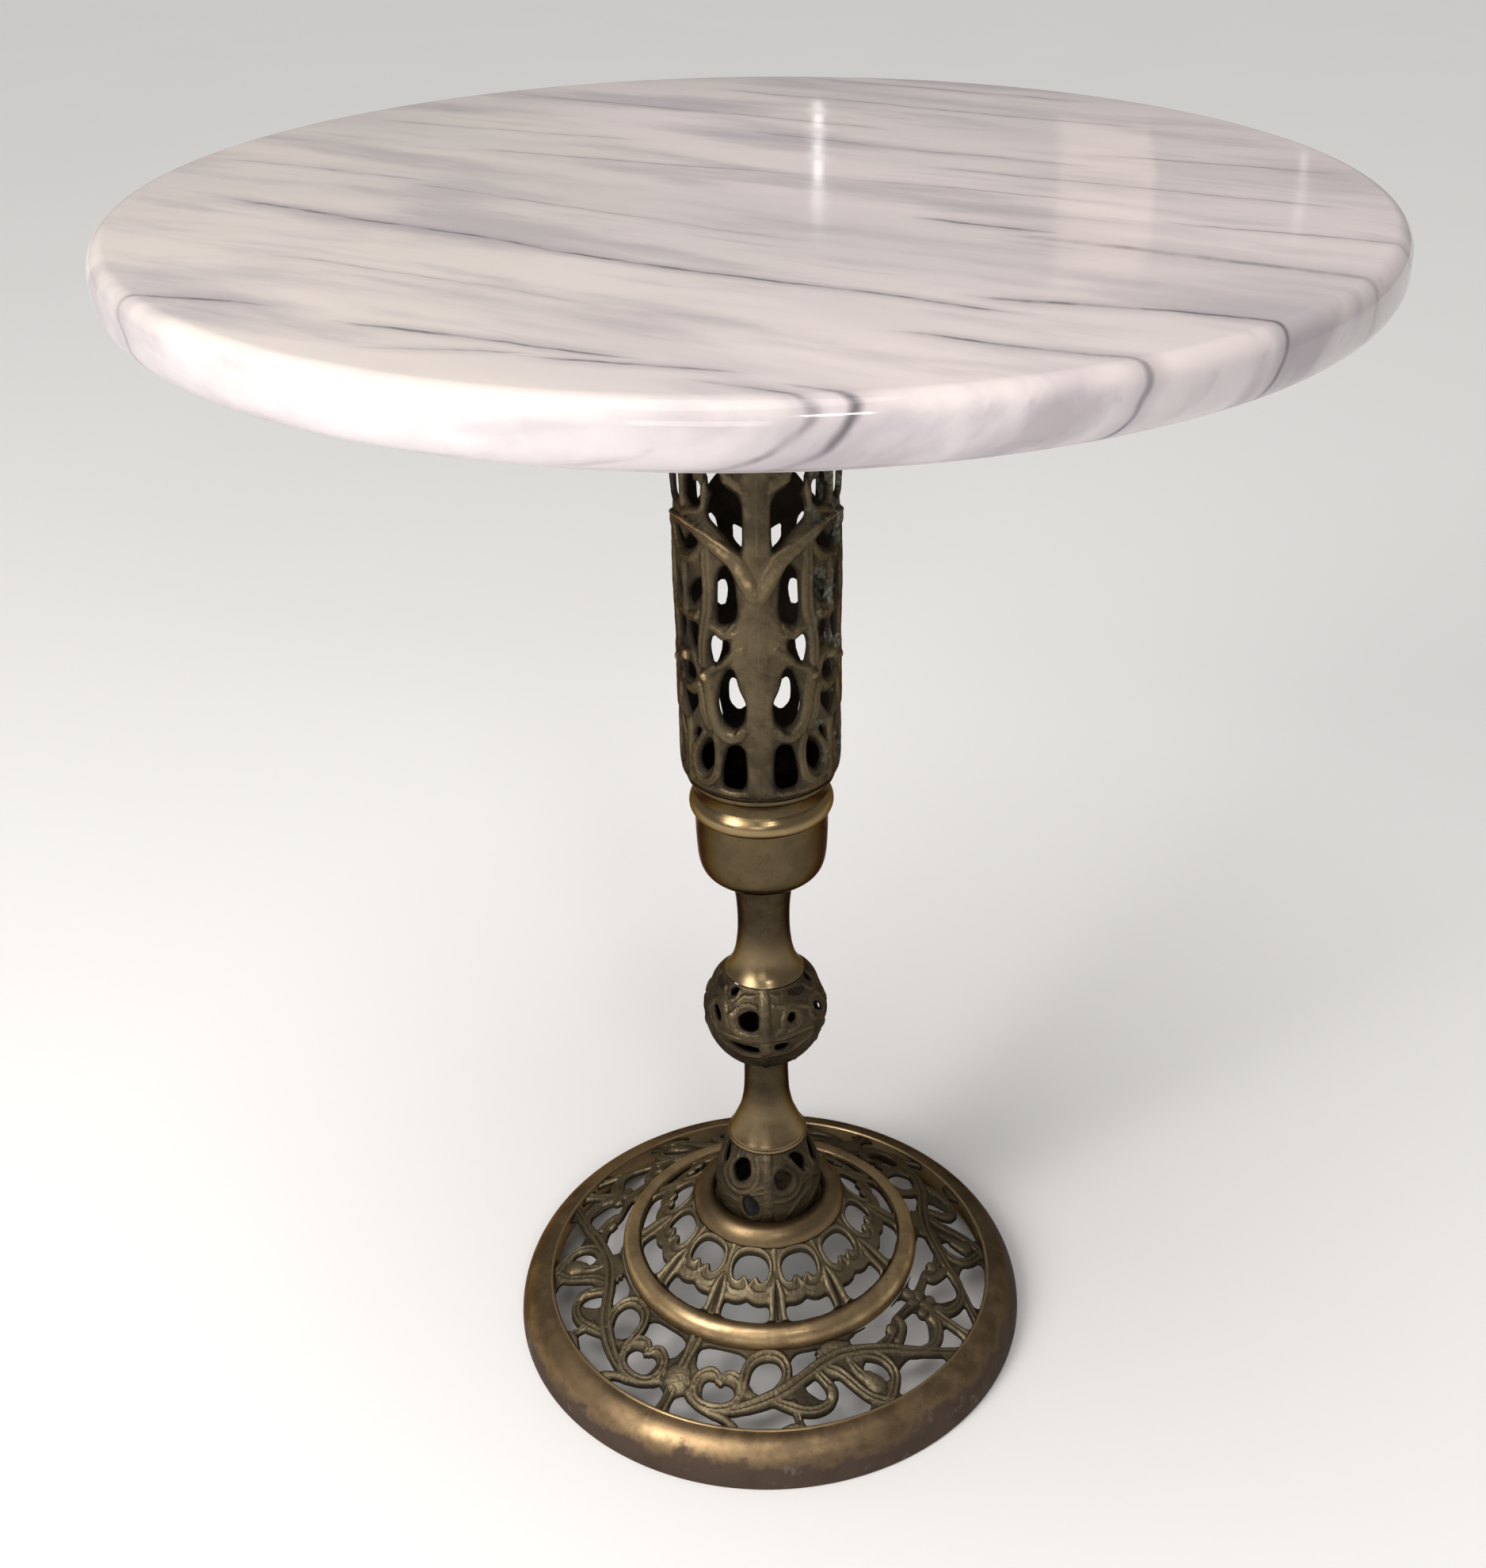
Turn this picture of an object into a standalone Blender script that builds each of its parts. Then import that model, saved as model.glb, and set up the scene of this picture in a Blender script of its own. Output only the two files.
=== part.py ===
"""Bistro table: a round marble top on a pierced brass column, ball and domed foot.

Lengths in the tables below are millimetres and angles are degrees. The frame has +Z up and its
origin on the floor, on the axis of the column. Azimuth 0 looks along -Y, the front of the table,
and grows towards +X. The castings are turned rings with pierced openwork between them, and one
steel rod clamps the whole stack from the mounting plate down to the foot.
"""

import math

import bmesh
import bpy
from mathutils import Vector
from mathutils.geometry import delaunay_2d_cdt

MM = 0.001
GAP = 0.3

# Driving dimensions.
TABLE_HEIGHT = 711.0
TOP_RADIUS = 305.0
TOP_THICKNESS = 28.5
FOOT_RADIUS = 161.4
COLUMN_RADIUS = 44.7
COLUMN_FOOT = 398.0
COLUMN_HEAD = 670.0
BALL_RADIUS = 37.2
BALL_CENTRE = 233.0
ROD_RADIUS = 5.0

# The three panels of the column, the ball and the bell, and the four quarters of the foot.
PANELS = 3
PANEL_ARC = 360.0 / PANELS
ARCHES = 12
QUARTER = 90.0

# The mounting plate's underside, and the floor of the well that its nut sits in.
PLATE_LOW = 673.3
PLATE_WELL = 676.2

# Where the foot's castings meet each other.
RING_SEAT = (33.6, 88.0)
INNER_RING_FOOT = 78.0
LATTICE_SPAN = (48.3, 81.9)
MIDDLE_RING_SPAN = (82.2, 94.4)
SCROLL_SPAN = (94.7, 139.4)
RIM_INNER = 139.7
ROSETTE_AZIMUTH = -28.5
ARCH_AZIMUTH = 18.5
BORE_RADIUS = ROD_RADIUS + 0.4

SCREW_CIRCLE = 55.0
SCREW_COUNT = 4

# Height and outer radius down the bell.
BELL_PROFILE = [(137.0, 22.6), (130.0, 26.8), (122.0, 30.2), (114.0, 32.3), (104.0, 33.4), (88.3, 32.6)]
BELL_WALL = 3.0

# The nuts' radius over their corners.
NUT_RADIUS = 9.2


def clear_scene():
    """Remove every object that the scene starts with."""
    for item in list(bpy.data.objects):
        bpy.data.objects.remove(item, do_unlink=True)


def paint(name, colour, roughness, metallic):
    """Return a Principled material."""
    material = bpy.data.materials.new(name)
    material.use_nodes = True
    shader = material.node_tree.nodes["Principled BSDF"]
    shader.inputs["Base Color"].default_value = (*colour, 1.0)
    shader.inputs["Roughness"].default_value = roughness
    shader.inputs["Metallic"].default_value = metallic
    material.diffuse_color = (*colour, 1.0)
    return material


def add_object(name, mesh, material):
    """Link a mesh as one named object, smooth where it is round."""
    mesh.materials.append(material)
    mesh.shade_smooth()
    mesh.set_sharp_from_angle(angle=math.radians(35.0))
    item = bpy.data.objects.new(name, mesh)
    bpy.context.collection.objects.link(item)
    return item


def mesh_from(bm, name):
    """Turn a bmesh into a mesh whose faces all point outwards."""
    bmesh.ops.remove_doubles(bm, verts=bm.verts, dist=1e-6)
    bmesh.ops.recalc_face_normals(bm, faces=bm.faces)
    mesh = bpy.data.meshes.new(name)
    bm.to_mesh(mesh)
    bm.free()
    return mesh


def arc(centre, radii, start, end, count):
    """Points on an ellipse in the (radius, height) plane, angle 0 pointing up."""
    points = []
    for step in range(count + 1):
        angle = math.radians(start + (end - start) * step / count)
        points.append((centre[0] + radii[0] * math.sin(angle), centre[1] + radii[1] * math.cos(angle)))
    return points


def turned(name, section, steps, material, closed=True):
    """Spin a section of (radius, height) points about the Z axis."""
    bm = bmesh.new()
    ring = [bm.verts.new((radius * MM, 0.0, height * MM)) for radius, height in section]
    pairs = list(zip(ring, ring[1:]))
    if closed:
        pairs.append((ring[-1], ring[0]))
    edges = [bm.edges.new(pair) for pair in pairs]
    bmesh.ops.spin(
        bm, geom=ring + edges, cent=(0, 0, 0), axis=(0, 0, 1), angle=math.tau, steps=steps, use_merge=True
    )
    return add_object(name, mesh_from(bm, name), material)


def prism(name, radius, bore, low, high, sides, material, place=(0.0, 0.0)):
    """A straight bush or nut with flat ends, or a plain pin where the bore is 0."""
    section = [(bore, low), (radius, low), (radius, high), (bore, high)]
    item = turned(name, section, sides, material, closed=bore > 0.0)
    item.location = (place[0] * MM, place[1] * MM, 0.0)
    return item


def cut(item, cutter):
    """Cut one solid out of another, and keep the cutter as a wire guide."""
    cutter.hide_render = True
    cutter.display_type = "WIRE"
    modifier = item.modifiers.new("cut_" + cutter.name, "BOOLEAN")
    modifier.operation = "DIFFERENCE"
    modifier.object = cutter


def circle_places(radius, count, start):
    """Centres spaced evenly round a circle."""
    angles = [math.radians(start + 360.0 * step / count) for step in range(count)]
    return [(radius * math.sin(angle), -radius * math.cos(angle)) for angle in angles]


def mirrored(outline, mirror):
    """An outline of (azimuth, height) points reflected about an azimuth."""
    return [(2.0 * mirror - azimuth, height) for azimuth, height in reversed(outline)]


def shifted(outline, turn):
    """An outline of (azimuth, height) points turned round the axis."""
    return [(azimuth + turn, height) for azimuth, height in outline]


def encloses(loop, point):
    """Whether a flat outline runs round a point, by the even-odd rule."""
    odd = False
    for (ax, ay), (bx, by) in zip(loop, loop[1:] + loop[:1]):
        if (ay > point.y) != (by > point.y) and point.x < ax + (bx - ax) * (point.y - ay) / (by - ay):
            odd = not odd
    return odd


def triangulate(outer, holes):
    """Fill a flat outline with triangles, leaving its holes open."""
    points = []
    edges = []
    for loop in [outer] + holes:
        first = len(points)
        count = len(loop)
        points.extend(Vector(point) for point in loop)
        edges.extend((first + step, first + (step + 1) % count) for step in range(count))
    inside_edges = 1
    verts, _, faces, *_ = delaunay_2d_cdt(points, edges, [], inside_edges, 1e-6)
    solid = []
    for face in faces:
        middle = sum((verts[corner] for corner in face), Vector((0.0, 0.0))) / len(face)
        if not any(encloses(hole, middle) for hole in holes):
            solid.append(face)
    return verts, solid


def sheet(name, outer, holes, skin, wall, material):
    """Bend a flat pierced plate onto a surface, as one closed solid of even wall.

    skin gives, for a flat point, the point on the outer face and the way in from it.
    """
    flat, faces = triangulate(outer, holes)
    bm = bmesh.new()
    front = []
    back = []
    for point in flat:
        place, inward = skin(point)
        front.append(bm.verts.new(place * MM))
        back.append(bm.verts.new((place + inward * wall) * MM))
    sides = {}
    for face in faces:
        bm.faces.new([front[corner] for corner in face])
        bm.faces.new([back[corner] for corner in reversed(face)])
        for start, end in zip(face, list(face[1:]) + [face[0]]):
            if sides.pop((end, start), None) is None:
                sides[(start, end)] = True
    for start, end in sides:
        bm.faces.new((front[end], front[start], back[start], back[end]))
    return add_object(name, mesh_from(bm, name), material)


def around(azimuth, radius, height):
    """A point in space from its azimuth, radius and height."""
    angle = math.radians(azimuth)
    return Vector((radius * math.sin(angle), -radius * math.cos(angle), height))


def ring_sheet(name, span, holes, profile, wall, sides, material):
    """A pierced ring of openwork on a surface of revolution.

    span and the holes' second values are distances along the surface, used as flat radii while the
    plate is filled. profile(distance) gives radius, height and the inward (radius, height) way.
    """
    def flat(azimuth, distance):
        angle = math.radians(azimuth)
        return (distance * math.sin(angle), -distance * math.cos(angle))

    def skin(point):
        distance = point.length
        azimuth = math.degrees(math.atan2(point.x, -point.y))
        radius, height, inward = profile(distance)
        return around(azimuth, radius, height), around(azimuth, inward[0], inward[1])

    inner, outer = span
    rim = [flat(360.0 * step / sides[1], outer) for step in range(sides[1])]
    eye = [flat(360.0 * step / sides[0], inner) for step in range(sides[0])]
    cuts = [[flat(*point) for point in hole] for hole in holes]
    return sheet(name, rim, [eye] + cuts, skin, wall, material)


def cone(start, end):
    """A profile running straight from one (radius, height) point to another, walled straight down."""
    def profile(distance):
        share = (distance - start[0]) / (end[0] - start[0])
        return distance, start[1] + (end[1] - start[1]) * share, (0.0, -1.0)

    return profile


def steel_fastening(steel):
    """The rod with its nuts, washer and clamp plate."""
    low = 60.0
    high = 681.8
    chamfer = 0.8
    tip = ROD_RADIUS - chamfer
    rod = [(0.0, low), (tip, low), (ROD_RADIUS, low + chamfer), (ROD_RADIUS, high - chamfer)]
    turned("tie_rod", rod + [(tip, high), (0.0, high)], 12, steel, closed=False)

    nut_bore = BORE_RADIUS / math.cos(math.radians(30.0))
    level = INNER_RING_FOOT - GAP
    stack = [("clamp_plate", 39.0, BORE_RADIUS, 3.2, 32), ("bottom_washer", 10.5, BORE_RADIUS, 2.0, 16)]
    for name, radius, bore, thickness, sides in stack + [("bottom_nut", NUT_RADIUS, nut_bore, 8.0, 6)]:
        prism(name, radius, bore, level - thickness, level, sides, steel)
        level -= thickness + GAP
    prism("top_nut", NUT_RADIUS, nut_bore, PLATE_WELL + GAP, 681.4, 6, steel)


def marble_top(marble, brass, steel):
    """The stone with its sockets, the mounting plate under it, and the screws between them."""
    high = TABLE_HEIGHT
    low = TABLE_HEIGHT - TOP_THICKNESS
    ease_radius = 9.0
    ease_height = 11.0
    flat = TOP_RADIUS - ease_radius
    upper = arc((flat, high - ease_height), (ease_radius, ease_height), 0.0, 90.0, 3)
    lower = arc((flat, low + ease_height), (ease_radius, ease_height), 90.0, 180.0, 3)
    stone = turned("marble_top", [(0.0, high)] + upper + lower + [(0.0, low)], 64, marble, closed=False)

    plate_high = low - GAP
    plate_radius = 70.0
    well_radius = 12.0
    section = [(BORE_RADIUS, PLATE_LOW), (plate_radius, PLATE_LOW), (plate_radius, plate_high)]
    section += [(well_radius, plate_high), (well_radius, PLATE_WELL), (BORE_RADIUS, PLATE_WELL)]
    plate = turned("top_plate", section, 40, steel)

    shank = 2.9
    tip = 694.0
    head = PLATE_LOW - GAP
    screw = [(0.0, tip), (shank, tip), (shank, head), (5.6, head), (5.6, head - 2.4)]
    screw += [(4.6, head - 3.6), (0.0, head - 3.6)]
    for number, place in enumerate(circle_places(SCREW_CIRCLE, SCREW_COUNT, 45.0), start=1):
        cut(stone, prism(f"socket_guide_{number}", 5.3, 0.0, low - 1.0, 698.0, 12, steel, place))
        bore = prism(f"bore_guide_{number}", 3.4, 0.0, PLATE_LOW - 1.0, plate_high + 1.0, 12, steel, place)
        cut(plate, bore)
        prism(f"marble_insert_{number}", 5.0, 3.3, low + GAP, 697.0, 12, brass, place)
        item = turned(f"plate_screw_{number}", screw, 10, steel, closed=False)
        item.location = (place[0] * MM, place[1] * MM, 0.0)


def column_surface(point):
    """The column's outer face: a cylinder whose foot turns in to a rounded lip."""
    lip_height = 8.0
    lip_depth = 3.0
    azimuth, height = point
    above = max(0.0, 1.0 - (height - COLUMN_FOOT) / lip_height)
    radius = COLUMN_RADIUS - lip_depth * above * above
    return around(azimuth, radius, height), around(azimuth, -1.0, 0.0)


def column_holes():
    """The openings of one half of a panel, from its rib to its centre line.

    The head of the panel repeats the openings of its foot upside down.
    """
    foot_window = [(10.5, 406.5), (27.0, 406.5), (25.0, 419.0), (24.0, 428.5), (18.0, 432.0), (12.5, 428.0)]
    teardrop = [(11.0, 455.0), (13.0, 446.0), (20.5, 442.5), (28.5, 446.5), (29.0, 456.0), (20.0, 476.0)]
    leaf_eye = [(22.5, 492.0), (28.0, 481.0), (35.0, 477.0), (37.0, 487.0), (36.0, 495.5)]
    slanting_drop = [(36.5, 433.0), (37.0, 419.0), (43.0, 411.0), (51.0, 413.0), (51.5, 422.0)]
    half = [foot_window, teardrop, leaf_eye, slanting_drop]
    turn_over = COLUMN_FOOT + 6.5 + COLUMN_HEAD - 6.5
    half += [[(azimuth, turn_over - height) for azimuth, height in reversed(hole)] for hole in half]
    half.append([(17.0, 522.0), (17.0, 508.0), (29.0, 502.0), (29.5, 514.0), (26.5, 527.0), (21.0, 532.0)])
    half.append([(12.0, 547.0), (20.0, 549.5), (30.0, 555.0), (33.0, 563.0), (24.0, 574.0), (12.5, 566.0)])
    half.append([(42.5, 526.0), (45.5, 514.0), (54.0, 510.0), (57.0, 516.0), (50.0, 525.0)])
    half.append([(41.0, 563.5), (52.0, 566.0), (56.0, 575.0), (49.0, 577.0)])
    centre = [
        [(50.0, 456.5), (54.0, 446.0), (60.0, 443.5), (66.0, 446.0), (70.0, 456.5), (60.0, 452.5)],
        [(49.0, 497.0), (54.0, 486.5), (60.0, 483.0), (66.0, 486.5), (71.0, 497.0), (60.0, 500.0)],
        [(53.0, 540.0), (60.0, 536.0), (67.0, 540.0), (67.0, 547.0), (60.0, 552.0), (53.0, 547.0)],
        [(52.0, 611.0), (60.0, 614.0), (68.0, 611.0), (66.0, 622.0), (60.0, 625.0), (54.0, 622.0)],
    ]
    return half, centre


def column(brass):
    """Three cast panels round the rod, the cap that spreads the clamp load, and the turned cup."""
    seam = math.degrees(GAP / COLUMN_RADIUS) / 2.0
    half, centre = column_holes()
    panel_holes = half + [mirrored(hole, PANEL_ARC / 2.0) for hole in half] + centre
    rows = 8
    columns = 12
    left = seam
    right = PANEL_ARC - seam
    ladder = [COLUMN_FOOT, COLUMN_FOOT + 3.0, COLUMN_FOOT + 7.0]
    ladder += [COLUMN_FOOT + (COLUMN_HEAD - COLUMN_FOOT) * step / rows for step in range(1, rows)]
    foot = [(left + (right - left) * step / columns, COLUMN_FOOT) for step in range(1, columns)]
    head = [(azimuth, COLUMN_HEAD) for azimuth, _ in reversed(foot)]
    outline = [(right, height) for height in ladder + [COLUMN_HEAD]]
    edge = foot + outline + head + [(left, height) for height in reversed(ladder + [COLUMN_HEAD])]
    for number in range(PANELS):
        turn = PANEL_ARC * number
        outer = shifted(edge, turn)
        holes = [shifted(hole, turn) for hole in panel_holes]
        sheet(f"column_panel_{number + 1}", outer, holes, column_surface, 3.4, brass)

    cap_low = COLUMN_HEAD + GAP
    cap_high = PLATE_LOW - GAP
    plug_low = COLUMN_HEAD - 8.0
    cap = [(BORE_RADIUS, plug_low), (40.8, plug_low), (40.8, cap_low), (46.0, cap_low), (46.0, cap_high)]
    turned("column_cap", cap + [(BORE_RADIUS, cap_high)], 36, brass)

    cup_floor = 330.0
    collar = [(41.4, COLUMN_FOOT - GAP), (39.7, 394.0), (39.3, 387.0), (40.0, 380.0), (39.6, 375.0)]
    bowl = [(37.9, 371.5), (37.4, 360.0), (36.9, 348.0), (36.2, 341.0), (34.6, 336.5), (31.5, 332.5)]
    inside = [(BORE_RADIUS, 336.0), (28.0, 336.0), (33.4, 342.0), (34.6, 372.0), (35.3, 402.0)]
    spigot = [(37.7, 402.0), (37.7, COLUMN_FOOT - GAP)]
    section = collar + bowl + [(27.0, cup_floor), (BORE_RADIUS, cup_floor)] + inside + spigot
    turned("column_cup", section, 32, brass)


def ball(brass):
    """Two pierced half shells that meet on the ball's equator."""
    wall = 2.8
    seam = math.degrees(GAP / BALL_RADIUS) / 2.0

    def profile(distance):
        latitude = math.radians(90.0 - distance)
        inward = (-math.cos(latitude), -math.sin(latitude))
        return BALL_RADIUS * math.cos(latitude), BALL_CENTRE + BALL_RADIUS * math.sin(latitude), inward

    upper = [
        [(22.0, 21.0), (26.0, 16.0), (32.0, 18.0), (32.0, 25.0), (26.0, 26.0)],
        [(56.0, 20.0), (66.0, 10.0), (73.0, 11.0), (70.0, 19.0), (61.0, 24.0)],
        [(71.0, 44.0), (75.0, 39.0), (82.0, 42.0), (82.0, 48.0), (74.0, 48.0)],
        [(91.0, 23.0), (96.0, 11.0), (108.0, 10.0), (114.0, 15.0), (113.0, 28.0), (104.0, 31.0)],
    ]
    lower = [
        [(8.0, -5.0), (17.0, -3.0), (24.0, -6.0), (19.0, -13.0), (9.0, -12.0)],
        [(82.0, -7.0), (100.0, -6.0), (114.0, -8.0), (114.0, -16.0), (98.0, -15.0)],
    ]
    spans = {"ball_upper": (upper, (40.0, 90.0 - seam)), "ball_lower": (lower, (90.0 + seam, 166.0))}
    for name, (openings, span) in spans.items():
        holes = []
        for number in range(PANELS):
            for opening in openings:
                outline = [(azimuth, 90.0 - latitude) for azimuth, latitude in opening]
                holes.append(shifted(outline, PANEL_ARC * number))
        sides = (20, 30) if name == "ball_upper" else (30, 14)
        ring_sheet(name, span, holes, profile, wall, sides, brass)


def spindles(brass):
    """The turned necks above and below the ball."""
    upper_outer = [(23.7, 261.9), (20.6, 265.8), (18.2, 271.0), (16.6, 278.0), (15.6, 286.0), (15.2, 300.0)]
    upper_outer += [(15.8, 312.0), (17.2, 320.0), (20.0, 329.7)]
    upper_under = [(BORE_RADIUS, 329.7), (BORE_RADIUS, 268.0), (16.0, 267.0), (20.8, 261.9)]
    turned("upper_spindle", upper_outer + upper_under, 24, brass)

    lower_outer = [(24.4, 137.3), (24.7, 139.0), (23.8, 140.6), (22.2, 143.6), (19.8, 149.0), (16.4, 157.5)]
    lower_outer += [(14.6, 166.0), (13.6, 176.0), (13.6, 197.8)]
    seat = [(9.3, 196.0), (BORE_RADIUS, 195.8)]
    spigot = [(BORE_RADIUS, 131.0), (18.5, 131.0), (18.5, 137.3)]
    turned("lower_spindle", lower_outer + seat + spigot, 24, brass)


def bell(brass):
    """The pierced bell between the lower neck and the foot."""
    eye = 20.0
    top = BELL_PROFILE[0][0]

    def profile(distance):
        height = top - (distance - eye)
        for (above, wide), (below, wider) in zip(BELL_PROFILE, BELL_PROFILE[1:]):
            if height >= below - 1e-3:
                share = (above - height) / (above - below)
                length = math.hypot(wider - wide, above - below)
                inward = (-(above - below) / length, -(wider - wide) / length)
                return wide + (wider - wide) * share, height, inward
        raise ValueError("the distance runs past the bell's foot")

    openings = [
        [(9.0, 121.0), (12.0, 125.5), (20.0, 125.5), (30.0, 121.0), (24.0, 116.0), (14.0, 115.5)],
        [(34.0, 133.0), (46.0, 132.5), (57.0, 127.5), (52.0, 122.0), (44.0, 123.5)],
        [(72.0, 125.0), (80.0, 131.0), (91.0, 131.0), (96.0, 124.0), (88.0, 119.0), (80.0, 118.5)],
        [(92.0, 106.0), (98.0, 109.5), (107.0, 105.0), (108.0, 98.0), (99.0, 94.0), (93.0, 98.0)],
    ]
    holes = []
    for number in range(PANELS):
        for opening in openings:
            outline = [(azimuth, eye + top - height) for azimuth, height in opening]
            holes.append(shifted(outline, PANEL_ARC * number))
    ring_sheet("bell", (eye, eye + top - BELL_PROFILE[-1][0]), holes, profile, BELL_WALL, (20, 30), brass)


def scroll_holes():
    """The openings of the vine scroll between a front rosette (0) and a side rosette (90)."""
    return [
        [(3.2, 98.0), (19.3, 98.0), (18.5, 108.5), (13.5, 107.8), (10.0, 106.8), (5.0, 109.5)],
        [(9.0, 116.0), (12.5, 116.5), (16.2, 117.0), (17.2, 121.0), (13.5, 126.3), (9.5, 124.0)],
        [(2.0, 130.5), (5.0, 127.0), (8.5, 131.0), (13.5, 134.0), (17.0, 138.2), (2.7, 138.2)],
        [(21.6, 110.0), (23.0, 104.0), (25.5, 100.3), (30.0, 101.0), (31.6, 107.0), (28.5, 116.5),
         (25.3, 119.5)],
        [(36.5, 98.0), (47.3, 98.0), (41.5, 105.3), (35.2, 112.0)],
        [(17.5, 130.5), (28.5, 126.5), (34.3, 131.5), (33.0, 136.0), (30.3, 138.2), (20.5, 138.2)],
        [(39.0, 116.0), (41.3, 113.5), (43.2, 118.5), (43.2, 124.5)],
        [(37.0, 132.0), (40.5, 133.5), (44.5, 130.5), (47.2, 124.0), (48.0, 115.5), (52.0, 127.0),
         (54.5, 134.5), (51.0, 138.2), (38.0, 138.2)],
        [(58.0, 116.5), (60.8, 112.5), (63.1, 120.0), (62.4, 127.0)],
        [(57.5, 97.0), (85.5, 96.6), (86.5, 100.5), (78.5, 100.0), (74.0, 102.0), (70.0, 106.5),
         (63.5, 105.5)],
        [(73.0, 118.5), (74.5, 113.5), (78.2, 111.5), (80.0, 106.0), (84.5, 106.5), (85.0, 114.0),
         (79.5, 123.5)],
        [(62.5, 138.2), (67.3, 126.3), (72.0, 124.7), (76.0, 131.0), (80.0, 138.2)],
        [(81.5, 130.8), (88.0, 127.3), (88.2, 135.0), (85.5, 138.2)],
    ]


def foot(brass):
    """The base: an openwork dome of two bands held between three turned rings."""
    crown = arc((40.5, 84.0), (7.5, 10.0), -35.0, 90.0, 4)
    inner = 29.5
    seat = [(RING_SEAT[0] + 0.5, RING_SEAT[1]), (inner, RING_SEAT[1]), (inner, INNER_RING_FOOT)]
    turned("inner_ring", list(reversed(crown)) + seat + [(46.0, INNER_RING_FOOT)], 36, brass)

    arch = [(-8.0, 52.0), (0.0, 50.4), (8.0, 52.0), (9.6, 57.0), (7.0, 62.0), (3.5, 60.2), (0.0, 61.2)]
    arch += [(-3.5, 60.2), (-7.0, 62.0), (-9.6, 57.0)]
    window = [(-10.5, 71.8), (0.0, 70.5), (10.5, 71.8), (11.2, 80.8), (-11.2, 80.8)]
    holes = []
    for number in range(ARCHES):
        turn = ARCH_AZIMUTH + number * 360.0 / ARCHES
        holes += [shifted(arch, turn), shifted(window, turn)]
    slope = cone((LATTICE_SPAN[0], 84.0), (LATTICE_SPAN[1], 56.0))
    ring_sheet("lattice_band", LATTICE_SPAN, holes, slope, 4.2, (36, 48), brass)

    inner, outer = MIDDLE_RING_SPAN
    crest = 87.2
    top = arc((crest, 46.0), (outer - crest, 11.3), 90.0, 0.0, 4)
    section = top + [(84.0, 56.6), (inner, 54.5), (inner, 51.0), (88.0, 43.5), (93.6, 42.6)]
    turned("middle_ring", section, 56, brass)

    quarter = scroll_holes()
    half = quarter + [mirrored(hole, QUARTER) for hole in quarter]
    holes = [shifted(hole, ROSETTE_AZIMUTH + turn) for turn in (0.0, 180.0) for hole in half]
    slope = cone((SCROLL_SPAN[0], 45.6), (SCROLL_SPAN[1], 26.8))
    ring_sheet("scroll_band", SCROLL_SPAN, holes, slope, 4.0, (56, 60), brass)

    crown_centre = (143.0, 2.0)
    radii = (FOOT_RADIUS - crown_centre[0], 25.6)
    crown = arc(crown_centre, radii, 90.0, -10.0, 6)
    section = [(FOOT_RADIUS, 0.0)] + crown + [(RIM_INNER, 18.0), (144.0, 9.0), (150.0, 0.0)]
    turned("base_rim", section, 60, brass)


def build():
    """Model the whole table."""
    clear_scene()
    marble = paint("white_marble", (0.78, 0.74, 0.73), 0.12, 0.0)
    polished = paint("aged_brass", (0.42, 0.30, 0.13), 0.32, 1.0)
    antique = paint("antique_brass", (0.25, 0.21, 0.13), 0.48, 1.0)
    steel = paint("zinc_steel", (0.48, 0.48, 0.47), 0.40, 1.0)
    marble_top(marble, polished, steel)
    steel_fastening(steel)
    column(antique)
    spindles(polished)
    ball(antique)
    bell(antique)
    foot(polished)
    for name in ("lattice_band", "scroll_band"):
        bpy.data.objects[name].data.materials[0] = antique


build()
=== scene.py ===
import math

import bmesh
import bpy
import numpy as np
from mathutils import Matrix, Vector
from mathutils.geometry import delaunay_2d_cdt


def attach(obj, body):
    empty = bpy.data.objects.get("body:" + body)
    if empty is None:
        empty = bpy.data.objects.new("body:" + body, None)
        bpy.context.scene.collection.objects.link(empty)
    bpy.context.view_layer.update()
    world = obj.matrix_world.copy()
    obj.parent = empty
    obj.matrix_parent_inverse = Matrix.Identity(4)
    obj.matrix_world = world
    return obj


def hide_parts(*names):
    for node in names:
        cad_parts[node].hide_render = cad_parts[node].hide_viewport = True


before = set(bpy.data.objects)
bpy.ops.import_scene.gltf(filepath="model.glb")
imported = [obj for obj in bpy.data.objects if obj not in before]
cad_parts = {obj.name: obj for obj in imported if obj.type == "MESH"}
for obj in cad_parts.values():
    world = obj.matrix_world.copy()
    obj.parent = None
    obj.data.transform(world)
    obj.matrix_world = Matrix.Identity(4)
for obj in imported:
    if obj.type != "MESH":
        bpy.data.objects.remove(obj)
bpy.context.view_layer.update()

# Lengths are in millimetres and angles in degrees. Azimuth 0 is the front, -Y, and grows to +X.
MM = 0.001
TABLE_HEIGHT = 711.0
TOP_RADIUS = 305.0
TOP_THICKNESS = 28.5
COLUMN_RADIUS = 44.7
COLUMN_FOOT = 398.0
COLUMN_HEAD = 670.0
BALL_RADIUS = 37.2
BALL_CENTRE = 233.0
BORE_RADIUS = 5.4
ROSETTE_AZIMUTH = -28.5
ARCH_AZIMUTH = 18.5
PANEL_ARC = 120.0
TURN_STEPS = 256
FAR = 1e9
CORNER_SHARE = 0.2
GROOVE_WIDTH = 0.24
NO_STROKE = 9.0
EDGE_FADE = 0.9
CELL_SHARES = (0.04, 0.96)
BACK_SHADE_RELIEF = -3.0


# ---------------------------------------------------------------- curves and distances

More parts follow.
